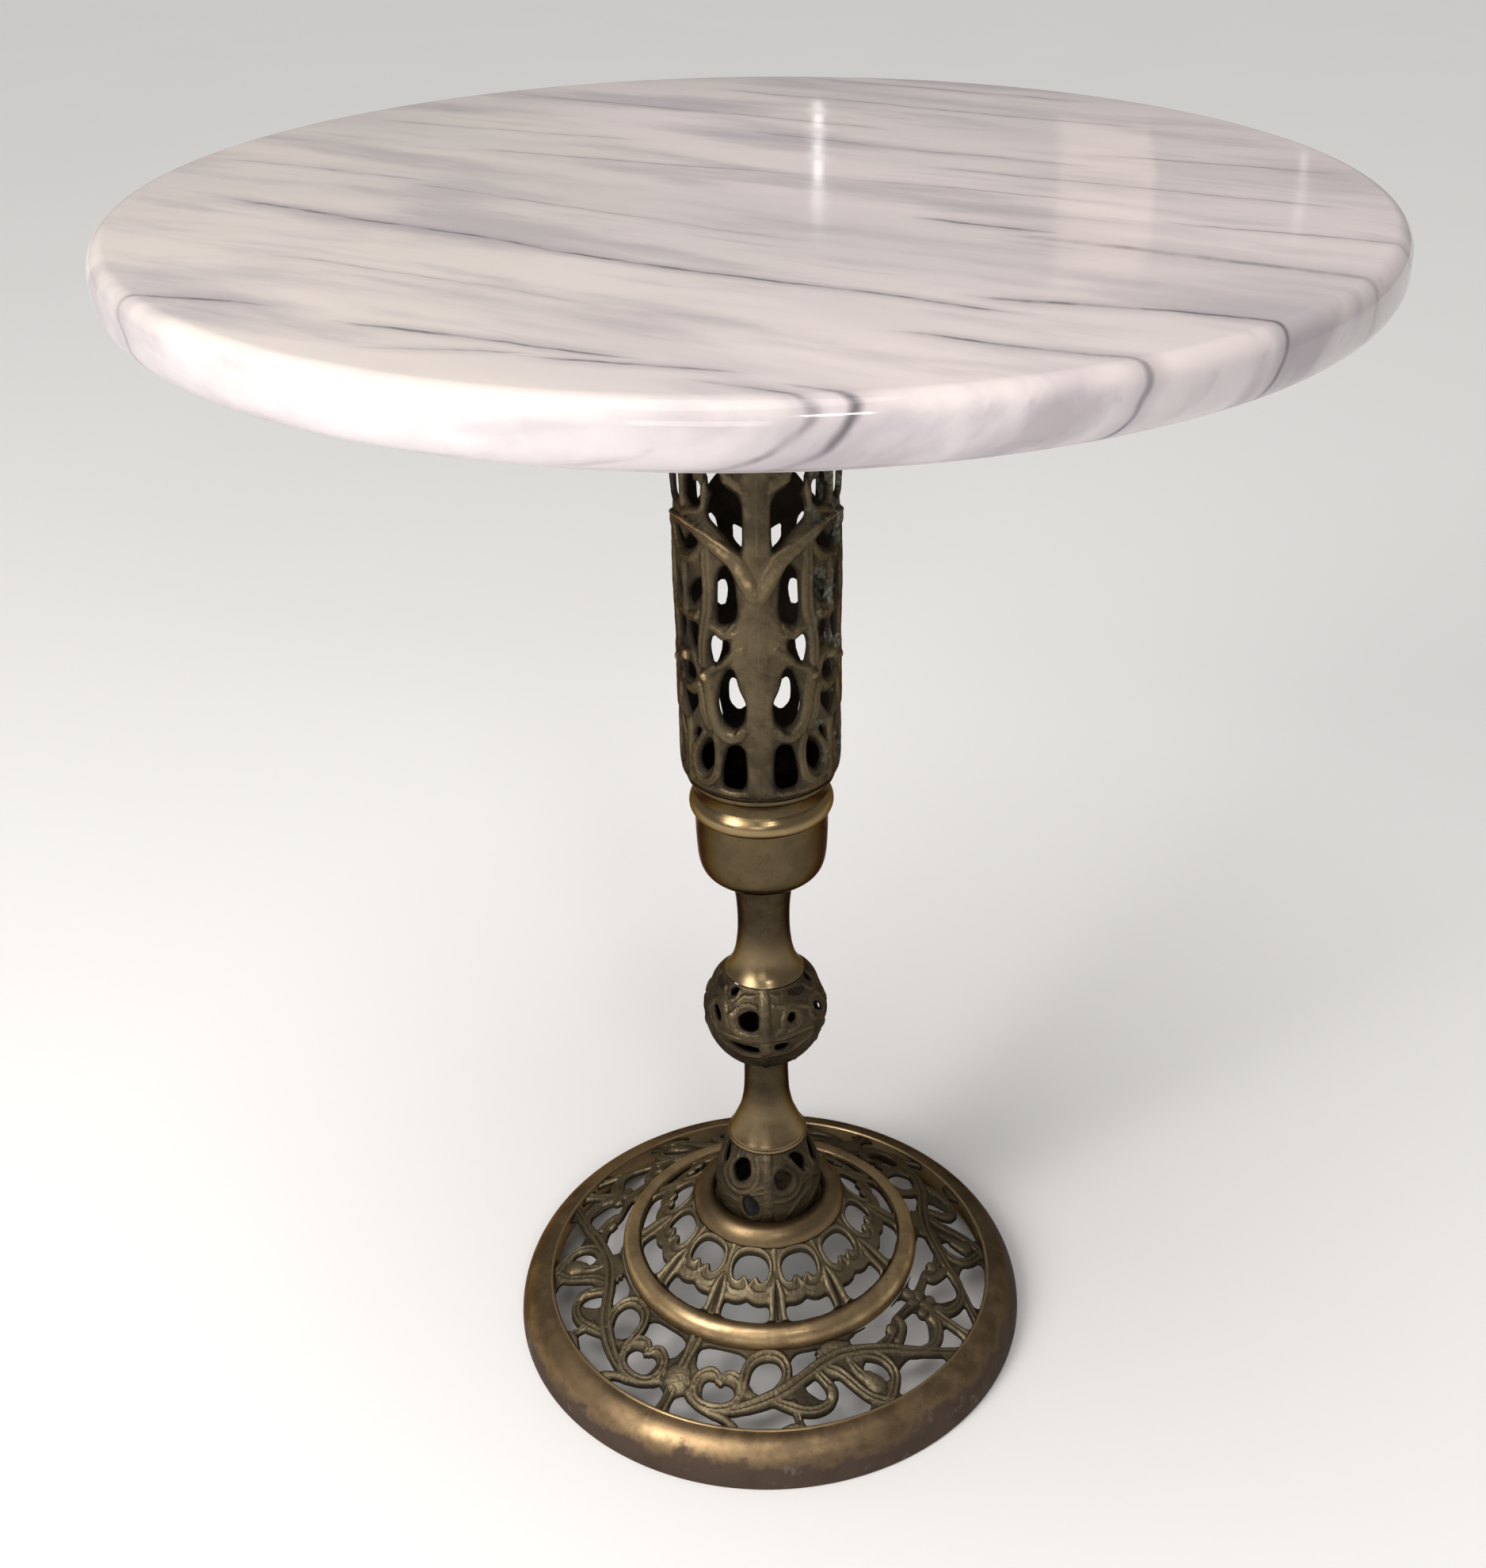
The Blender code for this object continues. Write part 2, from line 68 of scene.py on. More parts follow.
def curve(points, samples=6):
    """Catmull-Rom points through open control points of any dimension."""
    knots = np.array(points, dtype=float)
    if len(knots) < 3:
        share = np.linspace(0.0, 1.0, samples + 1)[:, None]
        return knots[0] + (knots[-1] - knots[0]) * share
    padded = np.vstack([2 * knots[0] - knots[1], knots, 2 * knots[-1] - knots[-2]])
    out = []
    for k in range(len(knots) - 1):
        a, b, c, d = padded[k:k + 4]
        for s in np.arange(samples) / samples:
            out.append(0.5 * (2 * b + (c - a) * s + (2 * a - 5 * b + 4 * c - d) * s * s
                              + (3 * b - a - 3 * c + d) * s ** 3))
    out.append(knots[-1])
    return np.array(out)


def rounded(loop, rounds=2):
    """A closed outline with its corners cut back, by Chaikin's rule."""
    points = np.array(loop, dtype=float)
    kept = 1.0 - CORNER_SHARE
    for _ in range(rounds):
        after = np.roll(points, -1, axis=0)
        pair = [kept * points + CORNER_SHARE * after, CORNER_SHARE * points + kept * after]
        points = np.stack(pair, axis=1).reshape(-1, 2)
    return points


def segment_share(points, a, b):
    """Distance from many points to one segment, and how far along it the nearest place is."""
    along = b - a
    length = max(float(along @ along), 1e-12)
    share = np.clip(((points - a) @ along) / length, 0.0, 1.0)
    gap = points - a - share[:, None] * along
    return np.sqrt((gap * gap).sum(axis=1)), share


def hole_distance(flat, holes, embed):
    """Distance from every grid place to the nearest hole, negative inside one."""
    places = embed(flat)
    nearest = np.full(len(flat), FAR)
    within = np.zeros(len(flat), dtype=bool)
    for hole in holes:
        loop = rounded(hole)
        solid = embed(loop)
        odd = np.zeros(len(flat), dtype=bool)
        for k in range(len(loop)):
            m = (k + 1) % len(loop)
            (ax, ay), (bx, by) = loop[k], loop[m]
            if ay != by:
                crosses = (ay > flat[:, 1]) != (by > flat[:, 1])
                odd ^= crosses & (flat[:, 0] < ax + (bx - ax) * (flat[:, 1] - ay) / (by - ay))
            distance, _ = segment_share(places, solid[k], solid[m])
            nearest = np.minimum(nearest, distance)
        within |= odd
    return np.where(within, -nearest, nearest)


def stroke_lift(flat, strokes, embed):
    """Height of the raised scrolls, and the distance inside their edges.

    Each stroke is (fullness, groove, [(u, v, half width), ...]). A negative fullness cuts in.
    """
    places = embed(flat)
    height = np.zeros(len(flat))
    cover = np.full(len(flat), -NO_STROKE)
    for fullness, groove, path in strokes:
        line = curve(path, 5)
        centres = embed(line[:, :2])
        best = np.full(len(flat), NO_STROKE)
        wide = np.ones(len(flat))
        for k in range(len(line) - 1):
            distance, share = segment_share(places, centres[k], centres[k + 1])
            width = line[k, 2] + (line[k + 1, 2] - line[k, 2]) * share
            ratio = distance / np.maximum(width, 0.2)
            closer = ratio < best
            best[closer] = ratio[closer]
            wide[closer] = width[closer]
        dome = np.sqrt(np.clip(1.0 - best ** 2, 0.0, 1.0))
        rise = wide * (fullness * dome - groove * np.exp(-(best / GROOVE_WIDTH) ** 2))
        rise = np.where(best < 1.0, rise, 0.0)
        if fullness < 0.0:
            height = height + rise
        else:
            height = np.where(best < 1.0, np.maximum(height, rise), height)
            cover = np.maximum(cover, (1.0 - best) * wide)
    return height, cover


def edge_round(distance, radius):
    """How far a rounded edge has dropped at a distance from the hole."""
    reach = np.clip(radius - distance, 0.0, radius)
    return np.sqrt(radius ** 2 - reach ** 2) - radius


def outlines(rows):
    """Outlines of (u, v) points, from rows that list u and v in turn."""
    return [np.reshape(row, (-1, 2)) for row in rows]


def strokes_of(rows, scale=1.0):
    """Strokes, from rows of fullness and groove and then u, v and half width in turn."""
    return [(row[0] * scale, row[1], np.reshape(row[2:], (-1, 3))) for row in rows]


# ---------------------------------------------------------------- meshes

def publish(name, verts, faces, node, material, relief=None, sharp=50.0):
    """Make one piece that stands for a CAD node."""
    mesh = bpy.data.meshes.new(name)
    mesh.from_pydata(verts, [], faces)
    mesh.materials.append(material)
    if relief is not None:
        layer = mesh.attributes.new("relief", "FLOAT", "POINT")
        layer.data.foreach_set("value", np.asarray(relief, dtype=np.float32))
    mesh.shade_smooth()
    mesh.set_sharp_from_angle(angle=math.radians(sharp))
    item = bpy.data.objects.new(name, mesh)
    bpy.context.collection.objects.link(item)
    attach(item, "root")
    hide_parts(node)
    return item


def settle(item):
    """Point every face outwards."""
    bm = bmesh.new()
    bm.from_mesh(item.data)
    bmesh.ops.recalc_face_normals(bm, faces=bm.faces)
    bm.to_mesh(item.data)
    bm.free()


def turn(section, closed):
    """Vertices, rings of vertex numbers and faces of turned (radius, height) points."""
    verts = []
    rings = []
    for radius, height in section:
        if radius < 1e-6:
            rings.append([len(verts)])
            verts.append((0.0, 0.0, height * MM))
            continue
        rings.append(list(range(len(verts), len(verts) + TURN_STEPS)))
        for k in range(TURN_STEPS):
            angle = math.tau * k / TURN_STEPS
            verts.append((radius * math.sin(angle) * MM, -radius * math.cos(angle) * MM, height * MM))
    faces = []
    for upper, lower in zip(rings, rings[1:] + rings[:1] if closed else rings[1:]):
        for k in range(TURN_STEPS):
            m = (k + 1) % TURN_STEPS
            if len(upper) == 1:
                faces.append((upper[0], lower[k], lower[m]))
            else:
                faces.append((upper[k], lower[k], lower[m], upper[m]))
    return verts, rings, faces


def lathe(name, node, material, section):
    """Turn a closed section of (radius, height) points, outside first, going down."""
    verts, _, faces = turn(section, True)
    settle(publish(name, verts, faces, node, material, sharp=32.0))


def cell_outline(case):
    """The outline of the solid part of one grid cell, as corner and edge marks."""
    marks = []
    for k in range(4):
        inside = bool(case >> k & 1)
        after = bool(case >> (k + 1) % 4 & 1)
        if inside:
            marks.append(("corner", k))
        if inside != after:
            marks.append(("edge", k))
    return marks


def pierced(us, vs, solid, lift, place, wall, wrap):
    """Mesh the part of a grid where solid is positive, as a plate with a relief on its face.

    solid and lift have one row per v and one column per u. place(u, v, lift) gives points in space.
    """
    rows, cols = solid.shape
    inside = solid > 0.0
    grid_u, grid_v = np.meshgrid(us, vs)
    parts = [(grid_u[inside], grid_v[inside], lift[inside])]
    corner = np.full((rows, cols), -1)
    total = int(inside.sum())
    corner[inside] = np.arange(total)

    # Where an outline crosses between two neighbours, first along u and then along v.
    crossed = []
    for axis in (1, 0):
        crossing = inside != np.roll(inside, -1, axis=axis)
        if axis == 0:
            crossing[-1] = False
        elif not wrap:
            crossing[:, -1] = False
        drop = np.where(crossing, solid - np.roll(solid, -1, axis=axis), 1.0)
        share = np.clip(solid / drop, *CELL_SHARES)
        along_u = us[1] - us[0] if axis else 0.0
        along_v = 0.0 if axis else np.roll(grid_v, -1, axis=0) - grid_v
        along_lift = np.roll(lift, -1, axis=axis) - lift
        parts.append(tuple(values[crossing] for values in (
            grid_u + share * along_u, grid_v + share * along_v, lift + share * along_lift)))
        number = np.full((rows, cols), -1)
        number[crossing] = total + np.arange(crossing.sum())
        total += int(crossing.sum())
        crossed.append(number)
    flat_edge, tall_edge = crossed

    u, v, rise = (np.concatenate(values) for values in zip(*parts))
    front = place(u, v, rise)
    back = place(u, v, np.full_like(rise, -wall))

    j, i = np.meshgrid(np.arange(rows - 1), np.arange(cols if wrap else cols - 1), indexing="ij")
    n = (i + 1) % cols
    corners = [corner[j, i], corner[j, n], corner[j + 1, n], corner[j + 1, i]]
    edges = [flat_edge[j, i], tall_edge[j, n], flat_edge[j + 1, i], tall_edge[j, i]]
    case = sum((value >= 0) * (1 << k) for k, value in enumerate(corners))
    faces = []
    for number in range(1, 16):
        where = case == number
        if not where.any():
            continue
        marks = cell_outline(number)
        ids = [(corners if kind == "corner" else edges)[k][where] for kind, k in marks]
        outline = np.stack(ids, axis=1)
        faces += outline.tolist()
        faces += (outline[:, ::-1] + total).tolist()
        for k, (kind, _) in enumerate(marks):
            m = (k + 1) % len(marks)
            if kind == "edge" and marks[m][0] == "edge":
                faces += np.stack([ids[m], ids[k], ids[k] + total, ids[m] + total], axis=1).tolist()
    # The backs get a low relief, so the cast brass paints them, and the walls between, with painted shade.
    relief = np.concatenate([rise, np.full_like(rise, BACK_SHADE_RELIEF)])
    return np.vstack([front, back]) * MM, faces, relief


def around(azimuth, radius, height):
    """Points in space from arrays of azimuth, radius and height."""
    angle = np.radians(azimuth)
    return np.stack([radius * np.sin(angle), -radius * np.cos(angle), height + 0.0 * angle], axis=1)


def casting_skin(us, vs):
    """The slow unevenness of a sand-cast face."""
    angle = np.radians(us)[None, :]
    wave = np.sin(9.0 * angle + 0.31 * vs) + np.sin(23.0 * angle - 0.47 * vs + 1.0)
    wave = wave + np.sin(41.0 * angle + 0.83 * vs + 2.0) + 0.7 * np.sin(-67.0 * angle + 1.3 * vs)
    return wave / 3.0


def unit_relief(holes, strokes, embed, unit, vs, columns, mirror, grow, reach):
    """Clearance from the openings and height of the strokes, repeated over numbered columns.

    unit holds the u of one repeat, whose last column is the next repeat's first or the mirror line.
    The openings grow as far as the strokes beside them, and a stroke may reach a little into one.
    """
    flat = np.stack([part.ravel() for part in np.meshgrid(unit, vs)], axis=1)
    shape = (len(vs), len(unit))
    clear = hole_distance(flat, holes, embed).reshape(shape)
    height, cover = (part.reshape(shape) for part in stroke_lift(flat, strokes, embed))
    clear = np.maximum(np.minimum(cover, clear + reach), clear - grow)
    count = len(unit) - 1
    pick = columns % (count * 2 if mirror else count)
    if mirror:
        pick = np.where(pick > count, 2 * count - pick, pick)
    return clear[:, pick], height[:, pick]


def casting(name, node, material, holes, strokes, embed, vs, span, place, arc, spacing, wall,
            start=0.0, mirror=True, edge=0.9, texture=0.08, grow=0.0, reach=0.0, sink=0.0):
    """A pierced ring whose pattern repeats round the axis.

    arc is the pattern's angle, spacing the grid's, start the azimuth where the pattern begins.
    """
    unit = np.arange(int(round(arc / spacing)) + 1) * spacing
    columns = np.arange(int(round(360.0 / spacing)))
    clear, height = unit_relief(holes, strokes, embed, unit, vs, columns, mirror, grow, reach)
    us = start + columns * spacing
    rows = vs[:, None]
    solid = np.minimum(clear, np.minimum(rows - span[0], span[1] - rows))
    swell = casting_skin(us, rows) * texture
    lift = edge_round(np.maximum(clear, 0.0), edge) + height + swell * np.clip(clear / EDGE_FADE, 0.0, 1.0)
    verts, faces, relief = pierced(us, vs, solid, lift, lambda u, v, rise: place(u, v, rise - sink),
                                   wall - sink, True)
    publish(name, verts, faces, node, material, relief)


# ---------------------------------------------------------------- material nodes

def add_node(tree, kind, sockets=None, **settings):
    """Add a node, set its properties, and fill or link its sockets."""
    item = tree.nodes.new("ShaderNode" + kind)
    for key, value in settings.items():
        setattr(item, key, value)
    for key, value in (sockets or {}).items():
        if isinstance(value, Value):
            tree.links.new(value.socket, item.inputs[key])
        else:
            item.inputs[key].default_value = value
    return item


class Value:
    """An output in a material's node tree. Arithmetic on it adds Math nodes."""

    def __init__(self, tree, socket):
        self.tree = tree
        self.socket = socket

    def node(self, kind, sockets, output=0, **settings):
        """The output of one more node."""
        return Value(self.tree, add_node(self.tree, kind, sockets, **settings).outputs[output])

    def math(self, operation, other=0.0, clamp=False):
        """One maths step."""
        return self.node("Math", {0: self, 1: other}, operation=operation, use_clamp=clamp)

    def __add__(self, other):
        return self.math("ADD", other)

    def __sub__(self, other):
        return self.math("SUBTRACT", other)

    def __mul__(self, other):
        return self.math("MULTIPLY", other)

    def split(self):
        """The x, y and z of a vector."""
        parts = add_node(self.tree, "SeparateXYZ", {0: self}).outputs
        return [Value(self.tree, part) for part in parts]

    def remap(self, low, high, to_low=0.0, to_high=1.0):
        """Map one range smoothly onto another."""
        sockets = {"Value": self, "From Min": low, "From Max": high, "To Min": to_low, "To Max": to_high}
        return self.node("MapRange", sockets, interpolation_type="SMOOTHSTEP")

    def noise(self, scale, detail=3.0, roughness=0.5):
        """A value from fractal noise at this vector."""
        sockets = {"Vector": self, "Scale": scale, "Detail": detail, "Roughness": roughness}
        return self.node("TexNoise", sockets, "Fac")

    def blend(self, first, second):
        """Mix two colours, with this much of the second."""
        first, second = ((*tone, 1.0) if isinstance(tone, tuple) else tone for tone in (first, second))
        return self.node("Mix", {0: self, 6: first, 7: second}, 2, data_type="RGBA")

    def drive(self, shader, name):
        """Link this to one of the shader's inputs."""
        self.tree.links.new(self.socket, shader.inputs[name])

    def bump(self, shader, strength, distance):
        """Drive the shader's normal from this height."""
        sockets = {"Height": self, "Strength": strength, "Distance": distance}
        self.node("Bump", sockets).drive(shader, "Normal")


def material_start(name):
    """A material with its Principled shader and object coordinates in metres."""
    material = bpy.data.materials.new(name)
    material.use_nodes = True
    tree = material.node_tree
    coords = Value(tree, add_node(tree, "TexCoord").outputs["Object"])
    return material, tree.nodes["Principled BSDF"], coords


MARBLE_WHITE = (0.780, 0.692, 0.680)
MARBLE_WARM = (0.742, 0.668, 0.622)
MARBLE_EDGE_SHADE = (0.640, 0.602, 0.638)
MARBLE_GREY = (0.560, 0.515, 0.515)
MARBLE_LILAC = (0.440, 0.395, 0.420)
MARBLE_SMOKE = (0.300, 0.262, 0.295)
MARBLE_VEIN = (0.095, 0.084, 0.098)
# The bedding: its strike from +X, its lean, and how far it wanders slowly and quickly.
STRIKE = 30.0
DIP = 0.62
SLOW_WANDER = 30.0
QUICK_WANDER = 10.0
# Scale along and across, detail, lowest and highest noise, amount, colour and shift.
STREAKS = [
    (2.4, 8, 3, 0.38, 0.68, 0.60, MARBLE_GREY, 0), (5.5, 22, 5, 0.45, 0.70, 0.78, MARBLE_LILAC, 4),
    (11, 52, 4, 0.52, 0.80, 0.50, MARBLE_LILAC, 9), (8, 90, 3, 0.60, 0.84, 0.40, MARBLE_SMOKE, 17),
]
# Thin dark veins: along and across at one end, the same at the other, half width, strength.
VEINS = [
    (-205, -122, -20, -131, 1.6, 0.85), (-30, -131, 185, -126, 1.5, 0.95), (100, -10, 155, -7, 1.7, 0.95),
    (150, -17, 300, -14, 3.4, 0.62), (-140, -270, -85, -259, 1.6, 0.85), (-30, -257, 84, -245, 1.5, 0.85),
    (60, -259, 128, -242, 1.5, 0.85), (0, -274, 48, -259, 1.3, 0.65), (132, -256, 190, -247, 1.5, 0.80),
    (160, -243, 215, -236, 1.7, 0.85), (170, -168, 275, -158, 1.6, 0.90), (172, -110, 245, -94, 2.6, 0.80),
    (225, -97, 300, -88, 1.8, 0.85), (-170, 20, 0, 38, 1.4, 0.45), (40, 44, 160, 52, 1.2, 0.40),
    (-230, 152, -10, 156, 1.6, 0.45), (-150, -58, 60, -64, 1.2, 0.40), (60, 84, 250, 92, 1.5, 0.50),
    (-140, 214, 110, 222, 1.6, 0.50), (-60, 116, 120, 122, 1.3, 0.42), (130, 150, 230, 160, 1.5, 0.50),
    (-120, -196, 30, -190, 1.2, 0.35), (-260, 60, -120, 74, 1.3, 0.40), (-100, 268, 60, 276, 1.5, 0.55),
    (-270, -60, -160, -52, 1.4, 0.45), (200, 30, 300, 40, 1.5, 0.50),
]
VEIN_FADE = 18.0


def marble_material():
    """White marble with grey-lilac streaks and thin dark veins that run through the stone."""
    material, shader, coords = material_start("white_marble")
    x, y, z = coords.split()
    run, rise = math.cos(math.radians(STRIKE)) / MM, math.sin(math.radians(STRIKE)) / MM
    below = z * (1.0 / MM) - TABLE_HEIGHT
    along = x * run + y * -rise
    across_plain = x * rise + y * run + below * -DIP

    def stretched(place, along_scale, across_scale, shift=0.0):
        return coords.node("CombineXYZ", {
            0: along * (along_scale * MM) + shift, 1: place * (across_scale * MM) + shift,
            2: below * (across_scale * 0.7 * MM) + shift})

    def below_top(near, far, at_near, at_far):
        return z.remap((TABLE_HEIGHT - far) * MM, (TABLE_HEIGHT - near) * MM, at_far, at_near)

    slow = stretched(across_plain, 3.0, 6.0).noise(1.0, 2.0)
    quick = stretched(across_plain, 16.0, 30.0, 3.0).noise(1.0, 3.0, 0.6)
    across = across_plain + (slow - 0.5) * SLOW_WANDER + (quick - 0.5) * QUICK_WANDER

    white = (coords.noise(5.0, 2.0) + x * 0.9).remap(0.35, 0.65).blend(MARBLE_WARM, MARBLE_WHITE)
    # The edge takes a darker, cooler copy of the marble: painted shade that tones down how brightly the lamps
    # light the edge.
    colour = below_top(3.0, 11.0, 0.0, 0.7).blend(white, MARBLE_EDGE_SHADE)
    smudge = coords.noise(17.0, 4.0, 0.55).remap(0.47, 0.64, 0.0, 0.75) * below_top(3.0, 9.0, 0.0, 1.0)
    colour = smudge.blend(colour, MARBLE_GREY)
    on_edge = below_top(1.0, 9.0, 1.0, 1.5)
    for along_scale, across_scale, detail, low, high, amount, tone, shift in STREAKS:
        streak = stretched(across, along_scale, across_scale, shift).noise(1.0, detail)
        colour = (streak.remap(low, high, 0.0, amount) * on_edge).blend(colour, tone)

    broken = stretched(across, 34.0, 10.0, 2.0).noise(1.0, 3.0, 0.6).remap(0.36, 0.60, 0.30, 1.0)
    depth = halo = x * 0.0
    for start, first, end, last, half, strength in VEINS:
        slope = (last - first) / (end - start)
        gap = (across + along * -slope - (first - slope * start)).math("ABSOLUTE")
        window = (along.remap(start - VEIN_FADE, start + VEIN_FADE)
                  * along.remap(end - VEIN_FADE, end + VEIN_FADE, strength, 0.0))
        depth = depth.math("MAXIMUM", gap.remap(0.0, half * 1.3, 1.0, 0.0) * window)
        halo = halo.math("MAXIMUM", gap.remap(0.0, half * 6.0, 1.0, 0.0) * window)
    colour = (halo * 0.48).blend(colour, MARBLE_SMOKE)
    (depth * broken).blend(colour, MARBLE_VEIN).drive(shader, "Base Color")

    gloss = coords.noise(26.0, 4.0, 0.6).remap(0.35, 0.70, 0.05, 0.12)
    sawn = below_top(TOP_THICKNESS - 3.0, TOP_THICKNESS - 0.2, 0.0, 0.50)
    (gloss + sawn).drive(shader, "Roughness")
    shader.inputs["IOR"].default_value = 1.50
    shader.inputs["Subsurface Weight"].default_value = 0.10
    shader.inputs["Subsurface Radius"].default_value = (0.006, 0.005, 0.005)
    coords.noise(900.0, 2.0).bump(shader, 0.04, 0.0002)
    return material


SIDE_SHADE = (0.060, 0.052, 0.034)
GILT_WEAR_AND_HIGHLIGHT = (0.400, 0.290, 0.155)
CRUST_DARK = (0.105, 0.115, 0.085)
CRUST_PALE = (0.270, 0.280, 0.230)
FLOOR_GRIME_AND_SHADE = (0.060, 0.042, 0.035)
CHALK = (0.210, 0.190, 0.175)
BARE_LIP = (0.420, 0.300, 0.160)


def brass_material(name, bright, dull, stain_and_shade, polish, cast=False, worn_and_lit_bands=(), worn_highlight_colour=None):
    """Aged brass: rubbed colour on the heights, brown tarnish, dirt and painted shade in the hollows, and
    painted shade on the foot's right and back.

    Positions are in metres here. The listed bands of height, (none, full, full, none) in
    millimetres, are worn back to a lighter colour that is partly a painted highlight.
    """
    material, shader, coords = material_start(name)
    x, y, z = coords.split()
    broad = coords.noise(16.0, 4.0, 0.6)
    patches = coords.noise(60.0, 5.0, 0.65)
    specks = coords.noise(420.0, 3.0, 0.6)
    radius = (x * x + y * y).math("SQRT")
    uneven = patches * 0.5 + broad * 0.5
    colour = uneven.remap(0.42, 0.60).blend(bright, dull)
    # Painted shade on the right and back of the foot, away from the key light.
    side = x * 0.70 + uneven * 0.10 + y * 0.72
    side = side.remap(0.06, 0.19, 0.0, 0.62) * z.remap(0.10, 0.14, 1.0, 0.0)
    colour = side.blend(colour, SIDE_SHADE)
    if cast:
        relief = coords.node("Attribute", {}, "Fac", attribute_type="GEOMETRY", attribute_name="relief")
        # On that shaded side the crests' colour is dimmed too: painted shade.
        bright = (side * 0.8).blend(bright, dull)
        level = (patches - 0.5) * 1.8 + relief
        # Dirt and patina in the hollows, with painted shade there and on the backs and walls of the castings.
        hollow_dirt_and_shade = level.remap(-0.9, 0.70, 1.0, 0.0)
        rubbed = radius.remap(0.075, 0.088, 1.0, 0.0) * z.remap(0.095, 0.13, 1.0, 0.0)
        colour = (rubbed * 0.55).blend(colour, bright)
        colour = (level.remap(0.75, 1.9) * 0.80).blend(colour, bright)
        colour = (hollow_dirt_and_shade * 0.88).blend(colour, stain_and_shade)
        # Worn edges of the column's leaves, with a painted highlight, mostly on its left where the key light
        # falls.
        gilt_wear_and_highlight = level.remap(1.85, 2.25) * z.remap(0.36, 0.40, 0.0, 0.80) * x.remap(-0.006, 0.006, 1.0, 0.25)
        colour = gilt_wear_and_highlight.blend(colour, GILT_WEAR_AND_HIGHLIGHT)
        # Verdigris on the column's right.
        green = coords.noise(60.0, 5.0, 0.7).remap(0.53, 0.62) * x.remap(0.014, 0.042, 0.0, 0.70)
        green = green * z.remap(0.36, 0.44)
        colour = green.blend(colour, specks.remap(0.50, 0.62).blend(CRUST_DARK, CRUST_PALE))
        metal = (hollow_dirt_and_shade * -0.40 + 0.95).math("SUBTRACT", green * 0.7, clamp=True)
        rough = hollow_dirt_and_shade * 0.24 + patches.remap(0.35, 0.65, polish, polish + 0.16)
        (patches * 1.8 + specks).bump(shader, 0.80, 0.0007)
    else:
        # Grime and painted shade on the lowest part of the rim, with a ragged upper border, reaching higher
        # on the right, away from the light.
        grime_and_shade_level = (patches - 0.5) * 0.030 + (broad - 0.5) * 0.030 + z - x * 0.030
        low = grime_and_shade_level.remap(0.0130, 0.0225, 1.0, 0.0) * radius.remap(0.146, 0.156)
        colour = (low * 0.92).blend(colour, FLOOR_GRIME_AND_SHADE)
        colour = specks.remap(0.60, 0.72, 0.0, 0.50).blend(colour, stain_and_shade)
        chalk = low * coords.noise(110.0, 5.0, 0.7).remap(0.58, 0.68, 0.0, 0.45)
        colour = chalk.blend(colour, CHALK)
        metal = low * -0.45 + 0.97
        lip = radius.remap(0.1412, 0.1424, 0.7, 0.0) * radius.remap(0.130, 0.134)
        colour = (lip * broad.remap(0.36, 0.56)).blend(colour, BARE_LIP)
        # Bands worn back to a lighter colour, partly a painted highlight.
        for bare_low, full_low, full_high, bare_high in worn_and_lit_bands:
            band = z.remap(bare_low * MM, full_low * MM) * z.remap(full_high * MM, bare_high * MM, 1.0, 0.0)
            colour = (band * broad.remap(0.30, 0.60, 1.0, 0.72)).blend(colour, worn_highlight_colour)
        lines = coords.node("CombineXYZ", {0: radius * 900.0, 1: z * 900.0}).noise(1.0, 2.0)
        rough = low * 0.22 + patches.remap(0.35, 0.68, polish, polish + 0.12)
        grain = coords.noise(1500.0, 2.0, 0.6)
        (lines * 0.35 + grain * 0.35 + patches * 0.4).bump(shader, 0.14, 0.0004)
    metal.drive(shader, "Metallic")
    shader.inputs["Specular Tint"].default_value = (0.30, 0.25, 0.19, 1.0)
    rough.drive(shader, "Roughness")
    colour.drive(shader, "Base Color")
    return material


def steel_material():
    """Zinc-plated steel with a dull spangle and brown age spots."""
    material, shader, coords = material_start("zinc_steel")
    spangle = coords.noise(160.0, 3.0, 0.6)
    rust = coords.noise(60.0, 5.0, 0.7).remap(0.58, 0.70)
    colour = spangle.remap(0.35, 0.65).blend((0.44, 0.44, 0.43), (0.30, 0.30, 0.30))
    (rust * 0.7).blend(colour, (0.12, 0.07, 0.04)).drive(shader, "Base Color")
    (rust * 0.3 + 0.38).drive(shader, "Roughness")
    shader.inputs["Metallic"].default_value = 0.95
    (rust * 0.8 + spangle).bump(shader, 0.2, 0.0003)
    return material


MARBLE = marble_material()
RING_BRASS = brass_material("ring_brass", (0.465, 0.332, 0.176), (0.290, 0.202, 0.110),
                            (0.050, 0.036, 0.025), 0.32)
RIM_BRASS = brass_material("rim_brass", (0.300, 0.204, 0.108), (0.160, 0.111, 0.064),
                           (0.042, 0.031, 0.022), 0.34)
CROWN_BRASS = brass_material("crown_brass", (0.185, 0.130, 0.070), (0.130, 0.092, 0.052),
                             (0.036, 0.027, 0.019), 0.36)
# The necks' dark brass is painted shade standing in for the dark surroundings they would reflect; their bands
# lighten on the flares as a painted highlight and darken up under the cup and the ball as painted shade.
SHADED_NECK_BRASS = brass_material("shaded_neck_brass", (0.066, 0.049, 0.029), (0.042, 0.032, 0.020),
                            (0.022, 0.017, 0.012), 0.24, worn_and_lit_bands=[(100, 120, 146, 180), (230, 250, 266, 298)],
                            worn_highlight_colour=(0.255, 0.186, 0.102))
